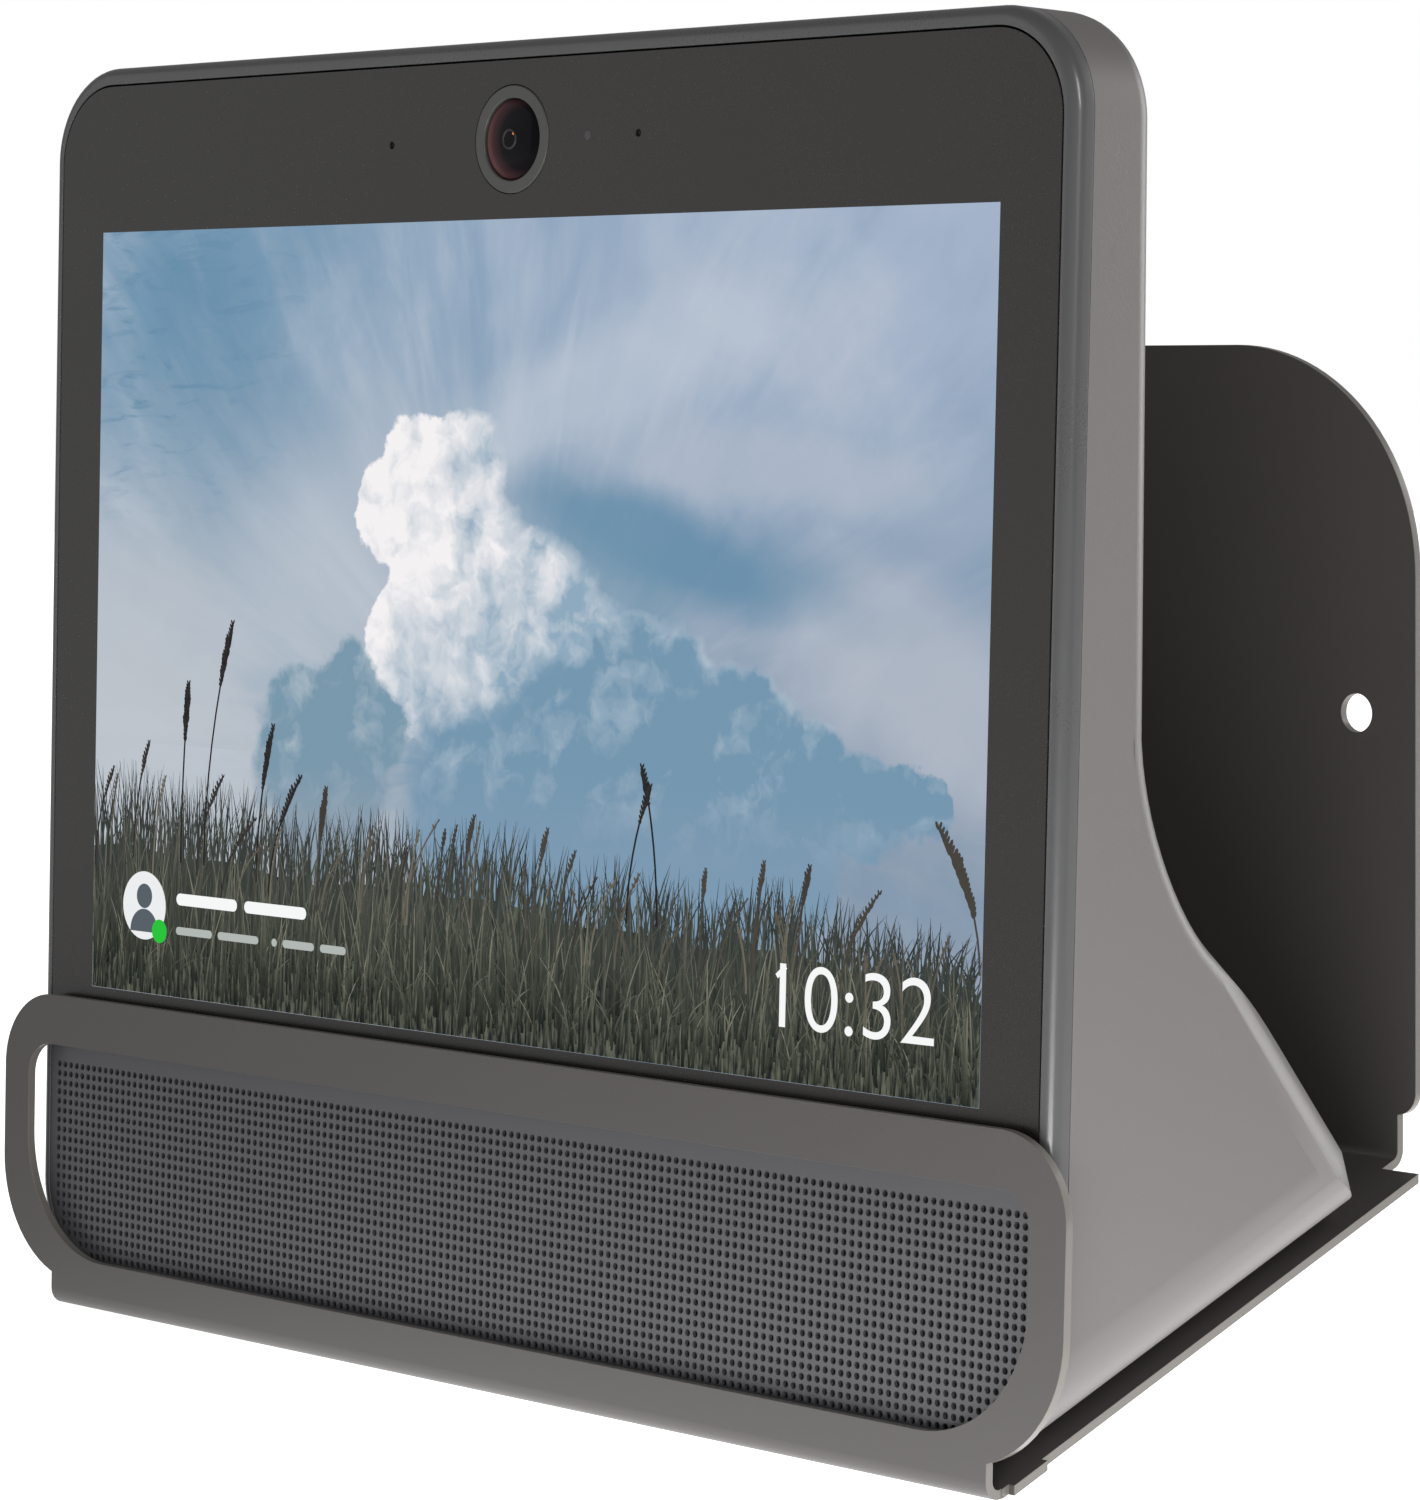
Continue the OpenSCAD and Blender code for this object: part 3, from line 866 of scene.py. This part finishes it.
# %% Microphone liners of painted shade and the light sensor's window
for s in (-1, 1):
    side = 'left' if s < 0 else 'right'
    liner = rod('mic_shade_liner_' + side, s * MIC_X, CAMERA_Z, (0.35, 1.1), 0.6, 16)
    to_display(liner)
    crisp(liner, 0.05, 35)
    keep(liner, CLOTH_AND_HOLE_SHADE, 'display', 'gasket')
dot = rod('sensor_window', 18.2, CAMERA_Z, (-0.02, 0.4), 0.75, 24)
to_display(dot)
crisp(dot, angle=35)
keep(dot, finish('sensor window', (66, 62, 66), rough=0.2), 'display', 'panel')

# %% [markdown]
# ## The picture on the screen
# The lit area shows a calm sky over a meadow. The sky is a flat sheet with a glowing material worked
# out from its own UV map: a gradient, wisps of high cloud, a dark bank, and a bright tower of cloud.

# %% The sky sheet
only(None)
bpy.ops.mesh.primitive_plane_add(size=MM, rotation=(math.pi / 2, 0, 0))
sky = named('screen_sky')
sky.scale = (SCREEN_W, SCREEN_H, 1)
sky.location = (0, -0.04 * MM, SCREEN_H / 2 * MM)
settle(sky)
to_display(sky)

# %% [markdown]
# A lit screen is black paint that glows: the base colour is black and the picture goes to Emission. The
# small functions below write the picture as sums, so that each cloud takes a line or two.

# %% A glowing material and its own place on the sheet
ASPECT = 1.6


def lit(name, rough=0.5, spec=0.0):
    m, tree, n = blank(name)
    preset(n, {'Base Color': (0, 0, 0, 1), 'Roughness': rough, 'Specular IOR Level': spec,
               'Emission Strength': 1.0})
    return m, tree, n


SKY, t, b = lit('lit sky', 0.3, 0.1)
uv = add(t, 'ShaderNodeUVMap')
wide = preset(add(t, 'ShaderNodeMapping'), {'Scale': (ASPECT, 1, 1)})
wire(t, uv.outputs['UV'], wide.inputs['Vector'])
uv_parts = add(t, 'ShaderNodeSeparateXYZ')
wire(t, uv.outputs['UV'], uv_parts.inputs[0])
U = uv_parts.outputs['X']
V = uv_parts.outputs['Y']


# %% Sums, blends and noise as functions
def value(op, a, b_=None, c=None, clamp=False):
    n = add(t, 'ShaderNodeMath', operation=op)
    n.use_clamp = clamp
    for i, v in enumerate((a, b_, c)):
        if v is None:
            continue
        if isinstance(v, (int, float)):
            n.inputs[i].default_value = v
        else:
            wire(t, v, n.inputs[i])
    return n.outputs[0]


def blend(fac, a, b_):
    n = add(t, 'ShaderNodeMix', data_type='RGBA', clamp_factor=True)
    for i, v in ((0, fac), (6, a), (7, b_)):
        if isinstance(v, (int, float, tuple)):
            n.inputs[i].default_value = v
        else:
            wire(t, v, n.inputs[i])
    return n.outputs[2]


def ramp(v, low, high):
    n = preset(add(t, 'ShaderNodeMapRange', interpolation_type='SMOOTHSTEP'), {'From Min': low, 'From Max': high})
    wire(t, v, n.inputs['Value'])
    return n.outputs['Result']


def noise(vec, scale, detail, rough, warp=0.0):
    n = preset(add(t, 'ShaderNodeTexNoise'),
               {'Scale': scale, 'Detail': detail, 'Roughness': rough, 'Distortion': warp})
    wire(t, vec, n.inputs['Vector'])
    return n

# %% [markdown]
# The blue is paler low on the left and high on the right. High cloud fans out from a point below the
# middle: noise is read by angle and distance from that point, which stretches it into rays.

# %% Sky gradient and the fan of high cloud
left = blend(ramp(V, 0.3, 0.95), linear(184, 192, 200), linear(106, 145, 173))
right = blend(ramp(V, 0.2, 0.95), linear(134, 152, 172), linear(160, 176, 199))
base = blend(ramp(U, 0.0, 0.9), left, right)
dx = value('MULTIPLY', value('SUBTRACT', U, 0.5), ASPECT)
dy = value('SUBTRACT', V, 0.33)
angle = value('ARCTAN2', dy, dx)
spread = value('POWER', value('ADD', value('MULTIPLY', dx, dx), value('MULTIPLY', dy, dy)), 0.5)
fan = add(t, 'ShaderNodeCombineXYZ')
wire(t, value('MULTIPLY', angle, 2.6), fan.inputs['X'])
wire(t, spread, fan.inputs['Y'])
rays = noise(fan.outputs[0], 1.3, 4, 0.55, 0.6)
fine = noise(fan.outputs[0], 3.6, 6, 0.6, 1.1)
soft = noise(wide.outputs[0], 2.6, 6, 0.55, 0.5)
mix_rays = value('MULTIPLY_ADD', fine.outputs['Fac'], 0.3, value('MULTIPLY', rays.outputs['Fac'], 0.7))
base = blend(value('MULTIPLY', ramp(mix_rays, 0.46, 0.7), 0.42), base, linear(196, 204, 216))
base = blend(value('MULTIPLY', ramp(mix_rays, 0.5, 0.32), 0.4), base, linear(104, 143, 171))
base = blend(value('MULTIPLY', ramp(soft.outputs['Fac'], 0.45, 0.75), 0.35), base, linear(206, 211, 220))
ripple_map = preset(add(t, 'ShaderNodeMapping'), {'Rotation': (0, 0, math.radians(24)), 'Scale': (3, 13, 1)})
wire(t, wide.outputs[0], ripple_map.inputs['Vector'])
ripple = noise(ripple_map.outputs[0], 3.2, 6, 0.6, 1.2)
corner = value('MULTIPLY', ramp(U, 0.36, 0.02), ramp(V, 0.55, 0.8))
base = blend(value('MULTIPLY', value('MULTIPLY', corner, ramp(ripple.outputs['Fac'], 0.5, 0.3)), 0.6), base,
             linear(84, 130, 160))
print('sky nodes so far:', len(t.nodes))

# %% [markdown]
# A cloud is a heap of round puffs. Each puff is a value that falls off from its centre and the largest
# value wins. Noise pushes the places around first, which breaks the round edges into billows. Sampling
# a bubbly texture twice, a little apart, and subtracting gives the light side and the dark side.

# %% Heaps of puffs
def puffs(vec, spots, ease=0.12):
    out = None
    for x, y, r in spots:
        d = preset(add(t, 'ShaderNodeVectorMath', operation='DISTANCE'), {1: (x * ASPECT, y, 0)})
        wire(t, vec, d.inputs[0])
        v = value('MULTIPLY_ADD', d.outputs['Value'], -1 / r, 1.0)
        out = v if out is None else value('SMOOTH_MAX', out, v, ease)
    return out


def moved(vec, x, y):
    n = preset(add(t, 'ShaderNodeVectorMath', operation='ADD'), {1: (x, y, 0)})
    wire(t, vec, n.inputs[0])
    return n.outputs[0]


def billow(strength, scale, detail):
    n = noise(wide.outputs[0], scale, detail, 0.6)
    off = preset(add(t, 'ShaderNodeVectorMath', operation='MULTIPLY_ADD'),
                 {1: (strength, strength, 0), 2: (-strength / 2, -strength / 2, 0)})
    wire(t, n.outputs['Color'], off.inputs[0])
    out = add(t, 'ShaderNodeVectorMath', operation='ADD')
    wire(t, wide.outputs[0], out.inputs[0])
    wire(t, off.outputs[0], out.inputs[1])
    return out.outputs[0]


def oval(vec, x, y, long, short, turn):
    n = preset(add(t, 'ShaderNodeMapping', vector_type='TEXTURE'),
               {'Location': (x * ASPECT, y, 0), 'Rotation': (0, 0, math.radians(turn)), 'Scale': (long, short, 1)})
    wire(t, vec, n.inputs['Vector'])
    far = add(t, 'ShaderNodeVectorMath', operation='LENGTH')
    wire(t, n.outputs[0], far.inputs[0])
    return value('SUBTRACT', 1.0, far.outputs['Value'])


rough_vec = billow(0.085, 12, 9)
lit_side = noise(moved(rough_vec, -0.014, 0.010), 8, 4, 0.6)
far_side = noise(moved(rough_vec, 0.012, -0.009), 8, 4, 0.6)
relief = value('SUBTRACT', lit_side.outputs['Fac'], far_side.outputs['Fac'])

# %% [markdown]
# Eight soft ovals of haze and shadow come first, each with a place, two radii, a turn, a strength and a
# tone. Then the tower: thirteen puffs, crisp at its left edge and fading into haze to the right.

# %% Haze, shadow and the bright tower
calm = billow(0.16, 2.6, 5)
for x, y, long, short, turn, power, tone in (
        (0.30, 0.58, 0.42, 0.26, 35, 0.5, (192, 199, 210)), (0.62, 0.80, 0.50, 0.10, 14, 0.5, (192, 202, 214)),
        (0.78, 0.69, 0.42, 0.07, -2, 0.6, (178, 188, 203)), (0.95, 0.44, 0.36, 0.16, -25, 0.7, (182, 188, 200)),
        (0.05, 0.44, 0.30, 0.26, 0, 0.6, (188, 194, 202)), (0.13, 0.88, 0.34, 0.12, -50, 0.5, (96, 137, 166)),
        (0.68, 0.605, 0.44, 0.085, -14, 0.8, (92, 137, 166)), (0.60, 0.55, 0.22, 0.12, -20, 0.6, (104, 145, 171))):
    veil = ramp(oval(calm, x, y, long, short, turn), 0.0, 0.75)
    base = blend(value('MULTIPLY', veil, power), base, linear(*tone))
tower = puffs(rough_vec, [
    (0.402, 0.683, 0.088), (0.455, 0.695, 0.080), (0.368, 0.640, 0.066), (0.425, 0.60, 0.095),
    (0.465, 0.60, 0.095), (0.372, 0.480, 0.058), (0.425, 0.50, 0.10), (0.49, 0.51, 0.12), (0.555, 0.51, 0.105),
    (0.46, 0.44, 0.12), (0.53, 0.56, 0.07), (0.60, 0.47, 0.09), (0.38, 0.43, 0.07)])
drift = value('MULTIPLY', value('MAXIMUM', value('SUBTRACT', U, 0.43), 0),
              value('MULTIPLY_ADD', ramp(V, 0.57, 0.66), 0.8, 0.3))
edge_width = value('MULTIPLY_ADD', drift, 3.0, 0.07)
tower_mask = value('DIVIDE', value('ADD', tower, 0.02), edge_width, clamp=True)
shade = value('ADD', value('MULTIPLY_ADD', U, 3.3, -1.22), value('MULTIPLY', relief, 2.6))
shade = value('ADD', shade, value('MULTIPLY', ramp(V, 0.60, 0.42), 0.35))
tower_col = blend(shade, linear(243, 240, 241), linear(140, 168, 189))
base = blend(tower_mask, base, tower_col)

# %% [markdown]
# The bank below is two heaps, one near on the left and a long one behind. Their tops catch a little
# light, and both sink into an even blue-grey towards the horizon.

# %% The bank of cloud below it
bank_vec = billow(0.13, 10, 9)
bank = puffs(bank_vec, [(0.27, 0.40, 0.07), (0.32, 0.41, 0.075), (0.35, 0.37, 0.07), (0.29, 0.31, 0.14)], 0.3)
far_bank = puffs(bank_vec, [
    (0.46, 0.30, 0.15), (0.57, 0.33, 0.17), (0.645, 0.43, 0.10), (0.69, 0.40, 0.10), (0.76, 0.39, 0.09),
    (0.82, 0.345, 0.085), (0.88, 0.31, 0.07), (0.925, 0.33, 0.045), (0.955, 0.325, 0.03), (0.66, 0.30, 0.19),
    (0.76, 0.27, 0.18), (0.50, 0.22, 0.2)], 0.35)
far_edge = value('MULTIPLY_ADD', value('MAXIMUM', value('SUBTRACT', 0.62, U), 0), 1.6, 0.16)
far_mask = value('DIVIDE', far_bank, far_edge, clamp=True)


def rim_light(heap, reach, strength):
    return value('MULTIPLY', value('MULTIPLY', ramp(heap, reach, 0.0), strength), ramp(V, 0.36, 0.42))


far_col = blend(value('MULTIPLY_ADD', relief, -3.4, rim_light(far_bank, 0.3, 0.75)),
                linear(114, 149, 174), linear(172, 189, 203))
far_col = blend(ramp(V, 0.36, 0.22), far_col, linear(122, 152, 177))
base = blend(far_mask, base, far_col)
bank_col = blend(value('MULTIPLY_ADD', relief, -3.4, rim_light(bank, 0.35, 0.7)),
                 linear(118, 150, 170), linear(176, 190, 201))
bank_col = blend(ramp(V, 0.34, 0.22), bank_col, linear(138, 156, 172))
base = blend(value('DIVIDE', bank, 0.2, clamp=True), base, bank_col)
wire(t, base, b.inputs['Emission Color'])
keep(sky, SKY, 'display', 'panel')

# %% [markdown]
# The meadow is real geometry: 2,600 thin blades on the picture's surface. One blade is modelled from a
# narrow grid, and each copy gets its own height, bend and tone, kept in a colour attribute.

# %% One blade and its tones
random.seed(7)


def toned_strip(name, steps):
    only(None)
    bpy.ops.mesh.primitive_grid_add(x_subdivisions=1, y_subdivisions=steps, size=1)
    ob = named(name)
    ob.data.color_attributes.new(name='tone', type='FLOAT_COLOR', domain='POINT')
    return ob


GRASS, t, b = lit('lit grass')
tone = add(t, 'ShaderNodeAttribute', attribute_name='tone')
wire(t, tone.outputs['Color'], b.inputs['Emission Color'])
blade = toned_strip('blade', 5)


# %% Helpers for tones and edges
def lin3(r, g_, b_):
    return linear(r, g_, b_)[:3]


def mix3(a, b_, k):
    return [a[i] * (1 - k) + b_[i] * k for i in range(3)]


def within(x, margin=0.02):
    return max(margin - SCREEN_W / 2, min(SCREEN_W / 2 - margin, x))


# %% Grow one blade and gather many
def grow_blade(x, foot, height, width, bend, low, high, depth):
    me = blade.data.copy()
    tones = me.color_attributes['tone'].data
    for v in me.vertices:
        k = v.co.y + 0.5
        w = width * (1 - k) ** 0.6 + 0.04
        px = within(x + v.co.x * w + bend * k * k)
        pz = max(0.05, foot + height * k * (1 - 0.12 * k * abs(bend) / max(height, 1)))
        c = mix3(low, high, k)
        tones[v.index].color = (*c, 1)
        v.co = Vector((px, depth, pz)) * MM
    return put('blade', me)


def gather(name, obs, mat):
    join(obs)
    keep(to_display(named(name)), mat, 'display', 'panel')

# %% [markdown]
# Three layers overlap: tall pale grass behind, middling grass, and short dark grass in front with the
# brightest tips. Every blade aims for a skyline that falls from left to right.

# %% Three layers of meadow
def skyline(x):
    k = (x + SCREEN_W / 2) / SCREEN_W
    return 37.5 - 8.5 * k - 5 * k ** 3 + 1.0 * math.sin(k * 17) + 0.8 * math.sin(k * 41)


layers = []
for count, foot, low_h, high_h, wide_min, wide_max, dark_foot, pale_foot, dark_tip, pale_tip, depth in (
        (1100, (8, 16), 0.86, 1.1, 0.35, 0.8, (50, 56, 53), (62, 67, 62), (52, 57, 56), (92, 94, 88), -0.06),
        (800, (2, 12), 0.5, 1.0, 0.3, 0.7, (32, 38, 36), (54, 59, 52), (70, 74, 68), (126, 125, 110), -0.08),
        (700, (-2, 8), 0.2, 0.75, 0.25, 0.6, (22, 27, 25), (48, 54, 46), (78, 83, 73), (150, 149, 132), -0.10)):
    for i in range(count):
        x = random.uniform(-108, 108)
        k = random.random()
        start = random.uniform(*foot)
        tall = skyline(x) * random.uniform(low_h, high_h) - start
        layers.append(grow_blade(x, start, max(tall, 5), random.uniform(wide_min, wide_max),
                                 random.gauss(0.4, 3.2), mix3(lin3(*dark_foot), lin3(*pale_foot), k),
                                 mix3(lin3(*dark_tip), lin3(*pale_tip), k ** 3), depth))
gather('screen_meadow', layers, GRASS)
bpy.data.objects.remove(blade, do_unlink=True)

# %% [markdown]
# Sky would show between the blades, so a strip under the same skyline fills the gaps. Its noise is
# stretched upwards, which reads as grass too fine to see.

# %% The dark mass of grass behind the blades
only(None)
bpy.ops.mesh.primitive_grid_add(x_subdivisions=120, y_subdivisions=1, size=1)
mass = named('screen_grass_mass')
for v in mass.data.vertices:
    x = v.co.x * (SCREEN_W - 0.1)
    top = skyline(x) * 0.68
    v.co = Vector((x, -0.05, 0.05 if v.co.y < 0 else top)) * MM
to_display(mass)
MASS, t, b = lit('lit grass mass')
uv = add(t, 'ShaderNodeTexCoord')
stretch = preset(add(t, 'ShaderNodeMapping'), {'Scale': (1300, 1, 240)})
wire(t, uv.outputs['Object'], stretch.inputs['Vector'])
streaks = noise(stretch.outputs[0], 1.0, 5, 0.6)
mass_col = blend(ramp(streaks.outputs['Fac'], 0.36, 0.68), linear(30, 36, 37), linear(98, 102, 88))
wire(t, mass_col, b.inputs['Emission Color'])
keep(mass, MASS, 'display', 'panel')

# %% [markdown]
# Tall seed heads break the skyline. A head is a stem, which is one long blade, with rows of small oval
# seeds leaning out from both sides of its tip.

# %% One seed and one stem
SEED_STEP = 0.62
only(None)
bpy.ops.mesh.primitive_circle_add(vertices=8, radius=0.5, fill_type='NGON')
seed = named('seed')
seed.data.color_attributes.new(name='tone', type='FLOAT_COLOR', domain='POINT')
stem = toned_strip('stem', 8)


def paint(me, c):
    for d in me.color_attributes['tone'].data:
        d.color = (*c, 1)


def grow_stem(x, foot, height, lean_x, c):
    me = stem.data.copy()
    for v in me.vertices:
        k = v.co.y + 0.5
        px = within(x + lean_x * k * k + v.co.x * 0.42, 0.08)
        v.co = Vector((px, -0.11, foot + height * k)) * MM
    paint(me, c)
    return put('stem', me)


# %% Seed heads
def seed_head(x, tip, foot, lean_x, head, fat, light):
    brown = mix3(lin3(40, 37, 38), lin3(118, 112, 98), light)
    out = [grow_stem(x - lean_x, foot, tip - foot, lean_x, brown)]
    n = int(head / SEED_STEP)
    for i in range(n):
        k = i / max(n - 1, 1)
        z = tip - head * k
        kk = max(0.0, min(1.0, (z - foot) / (tip - foot)))
        sx = x - lean_x + lean_x * kk * kk
        for s in (-1, 1):
            me = seed.data.copy()
            size = fat * (0.55 + 0.9 * math.sin(math.pi * (0.12 + 0.8 * k))) * random.uniform(0.8, 1.15)
            place = Matrix.Translation((sx + s * size * 0.45, -0.115, z))
            turned = Matrix.Rotation(math.radians(s * 24), 4, 'Y')
            shaped = Matrix.Diagonal((size * 0.8, 1, size * 1.9, 1)) @ Matrix.Rotation(math.pi / 2, 4, 'X')
            me.transform(place @ turned @ shaped)
            for v in me.vertices:
                v.co.x = within(v.co.x)
                v.co = v.co * MM
            paint(me, mix3(brown, lin3(64, 60, 58), random.uniform(0, 0.5)))
            out.append(put('seed', me))
    return out


heads = []
for x, tip, foot, lean_x, head, fat, light in (
        (-70, 67, 24, 7, 11, 0.62, 0), (-82, 56, 24, 1.5, 10, 0.66, 0), (-58.5, 49.5, 22, 4, 11, 0.6, 0),
        (-93, 45, 24, 4, 6, 0.5, 0.1), (-51, 41, 20, 8, 8, 0.62, 0), (-44, 39.5, 18, 2, 9, 0.6, 0.2),
        (-72, 40, 22, 7, 6, 0.5, 0.1), (-63, 33, 18, 9, 6, 0.5, 0.1), (34, 47.5, 22, -4, 6, 0.6, 0),
        (36, 44.5, 22, 5, 6, 0.55, 0), (99, 42, 20, -9, 13, 0.8, 0.3), (-6, 37, 18, 3, 7, 0.5, 0.25),
        (12, 36, 18, 3, 6, 0.5, 0.3), (62, 34, 16, 2, 6, 0.5, 0.3), (72, 34, 16, 2.5, 6, 0.55, 0.2),
        (87, 31, 14, 8, 9, 0.5, 0.3), (-103, 40, 22, 5, 5, 0.45, 0.1), (49, 32, 16, 1, 5, 0.45, 0.3)):
    heads += seed_head(x, tip, foot, lean_x, head, fat, light)
for i in range(34):
    x = random.uniform(-105, 105)
    heads += seed_head(x, skyline(x) + random.uniform(-9, 2.5), skyline(x) - 16, random.gauss(1, 2.5),
                       random.uniform(2.2, 4.5), random.uniform(0.28, 0.42), random.uniform(0.1, 0.9))
gather('screen_seed_heads', heads, GRASS)
for spare in (seed, stem):
    bpy.data.objects.remove(spare, do_unlink=True)

# %% [markdown]
# Over the picture lie the clock and a plain contact card. The clock is a text object made into a mesh and
# fitted to its width and height; a short slanted flag gives its first digit a nose.

# %% Clock digits
WHITE_INK, t, b = lit('white ink')
preset(b, {'Emission Color': linear(246, 247, 247)})
only(None)
bpy.ops.object.text_add(rotation=(math.pi / 2, 0, 0))
clock = bpy.context.object
clock.name = 'clock'
clock.data.body = '10:32'
clock.data.size = 0.014
clock.data.offset = -0.00012
only(clock)
bpy.ops.object.convert(target='MESH')
clock = named('screen_clock')
settle(clock)
xs = [v.co.x for v in clock.data.vertices]
zs = [v.co.z for v in clock.data.vertices]
fit_x = 33.0 * MM / (max(xs) - min(xs))
fit_z = 10.2 * MM / (max(zs) - min(zs))
for v in clock.data.vertices:
    v.co = Vector((66.0 * MM + (v.co.x - min(xs)) * fit_x, -0.13 * MM,
                   8.4 * MM + (v.co.z - min(zs)) * fit_z))
flag = block('flag', (-1.3, 1.3), (-0.131, -0.129), (-0.42, 0.42))
flag.rotation_euler = (0, math.radians(-40), 0)
flag.location = (66.3 * MM, 0, 17.2 * MM)
join([clock, settle(flag)])
keep(to_display(clock), WHITE_INK, 'display', 'panel')

# %% [markdown]
# The card is a round icon of nobody in particular, a green dot, and short bars where words would be. All
# of it is flat shapes laid a hair's breadth in front of the picture.

# %% Helpers for the contact card
def disc(name, x, z, r, depth):
    only(None)
    bpy.ops.mesh.primitive_circle_add(vertices=40, radius=r * MM, fill_type='NGON',
                                      rotation=(math.pi / 2, 0, 0))
    ob = settle(named(name))
    ob.location = (x * MM, depth * MM, z * MM)
    return settle(ob)


def bar(x0, x1, z, h):
    ob = block('bar', (x0, x1), (-0.12, -0.11), (z - h / 2, z + h / 2))
    soften(ob, h * 0.49, 5, lambda p: near(p[0].x, p[1].x, 0.005) and near(p[0].z, p[1].z, 0.005))
    return ob


def ink(name, *tone):
    m, tree, n = lit(name)
    tint = preset(add(tree, 'ShaderNodeGroup', node_tree=grain),
                  {'Tone': linear(*tone), 'Mottle': 0.03, 'Patch': 60})
    wire(tree, tint.outputs['Color'], n.inputs['Emission Color'])
    return m


# %% Contact card
card = disc('card_icon_ground', -93.6, 15.7, 6.1, -0.12)
keep(to_display(card), ink('icon ground', 236, 238, 240), 'display', 'panel')
head = disc('card_icon_head', -93.6, 17.4, 2.2, -0.13)
shoulders = disc('card_icon_shoulders', -93.6, 11.2, 3.9, -0.13)
pick(shoulders, 'FACE', lambda p: True)
bpy.ops.mesh.bisect(plane_co=(0, 0, 11.0 * MM), plane_no=(0, 0, 1), clear_inner=True)
leave_edit()
join([head, shoulders])
keep(to_display(head), ink('icon figure', 88, 96, 104), 'display', 'panel')
status = disc('card_status_dot', -89.2, 11.4, 2.1, -0.14)
keep(to_display(status), ink('status green', 44, 196, 60), 'display', 'panel')
gather('card_name_bars', [bar(*ends, 17.5, 2.1) for ends in ((-84.5, -67.6), (-65.6, -48.8))], WHITE_INK)
note_ends = ((-84.5, -74.4), (-72.8, -61.6), (-58.0, -56.6), (-55.0, -46.6), (-45.0, -38.2))
gather('card_note_bars', [bar(*ends, 11.9, 1.4) for ends in note_ends], ink('pale ink', 178, 184, 180))

# %% [markdown]
# ## Studio
# The floor is a pale sheet and the world is white, so no horizon shows. The floor also glows around the
# object, which stands for the light that a bright table throws back up, and fades further out.

# %% Floor
only(None)
bpy.ops.mesh.primitive_plane_add(size=1)
floor = named('studio_floor')
floor.scale = (6, 6, 1)
floor.location = (0, 0, cad_box[0][2] - 0.0003)
settle(floor)
PAPER = finish('studio paper', (252, 252, 252), rough=0.95, mottle=0.0, depth=0.0, spec=0.0)
t = PAPER.node_tree
b = preset(t.nodes['Principled BSDF'], {'Emission Color': (1, 1, 1, 1)})
spot = add(t, 'ShaderNodeTexCoord')
away = preset(add(t, 'ShaderNodeVectorMath', operation='DISTANCE'), {1: (0.12, -0.08, 0)})
wire(t, spot.outputs['Object'], away.inputs[0])
pool = preset(add(t, 'ShaderNodeMapRange', interpolation_type='SMOOTHSTEP'),
              {'From Min': 0.12, 'From Max': 0.4, 'To Min': 1.45, 'To Max': 0.16})
wire(t, away.outputs['Value'], pool.inputs['Value'])
seen = add(t, 'ShaderNodeLightPath')
shine = value('MAXIMUM', pool.outputs[0], seen.outputs['Is Camera Ray'])
wire(t, shine, b.inputs['Emission Strength'])
floor.data.materials.append(PAPER)

# %% [markdown]
# The world is white to the camera and dimmer as a light, so that the object keeps its dark tones. Three
# soft panels and a low strip then model the round edges and the front of the bracket.

# %% World light
world = bpy.data.worlds.new('studio')
bpy.context.scene.world = world
world.use_nodes = True
t = world.node_tree
back = preset(t.nodes['Background'], {'Color': (1, 1, 1, 1)})
seen = add(t, 'ShaderNodeLightPath')
wire(t, value('MULTIPLY_ADD', seen.outputs['Is Camera Ray'], 0.72, 0.28), back.inputs['Strength'])


# %% Soft panels
def panel(name, place, aim, size, power):
    light = bpy.data.lights.new(name, 'AREA')
    light.shape = 'RECTANGLE'
    light.size, light.size_y = size
    light.energy = power
    ob = put(name, light)
    ob.location = place
    ob.rotation_euler = (Vector(aim) - Vector(place)).to_track_quat('-Z', 'Y').to_euler()
    ob.visible_camera = False


panel('low_front_strip', (0.26, -0.31, -0.095), (0.05, -0.11, -0.09), (0.15, 0.03), 0.35)
panel('front_left_panel', (-1.15, -1.25, 0.4), (0, -0.1, 0), (1.3, 1.2), 2)
panel('side_strip', (0.9, -0.3, 0.42), (0.12, -0.1, 0.1), (0.1, 0.4), 2.4)
panel('back_panel', (0.42, 1.3, 0.3), (0, -0.05, 0), (0.6, 0.8), 8)

# %% [markdown]
# ## Camera
# A long lens from the front right, a little above the middle and looking slightly down.

# %% Camera
EYE = (0.61673, -0.65803, 0.06477)
cam = put('camera', bpy.data.cameras.new('camera'))
yaw, pitch, roll = (math.radians(a) for a in (-45.58, -4.65, -0.66))
fwd = Vector((math.sin(yaw) * math.cos(pitch), math.cos(yaw) * math.cos(pitch), math.sin(pitch)))
right_ = Vector((math.cos(yaw), -math.sin(yaw), 0))
up_ = right_.cross(fwd)
cr, sr = math.cos(roll), math.sin(roll)
right2 = right_ * cr + up_ * sr
up2 = up_ * cr - right_ * sr
turn = Matrix((right2, up2, -fwd)).transposed()
cam.matrix_world = Matrix.Translation(EYE) @ turn.to_4x4()
cam.data.lens = 121.15
cam.data.sensor_width = 36
cam.data.shift_y = -0.009
cam.data.clip_end = 50
bpy.context.scene.camera = cam
bpy.context.scene.view_settings.view_transform = 'Standard'
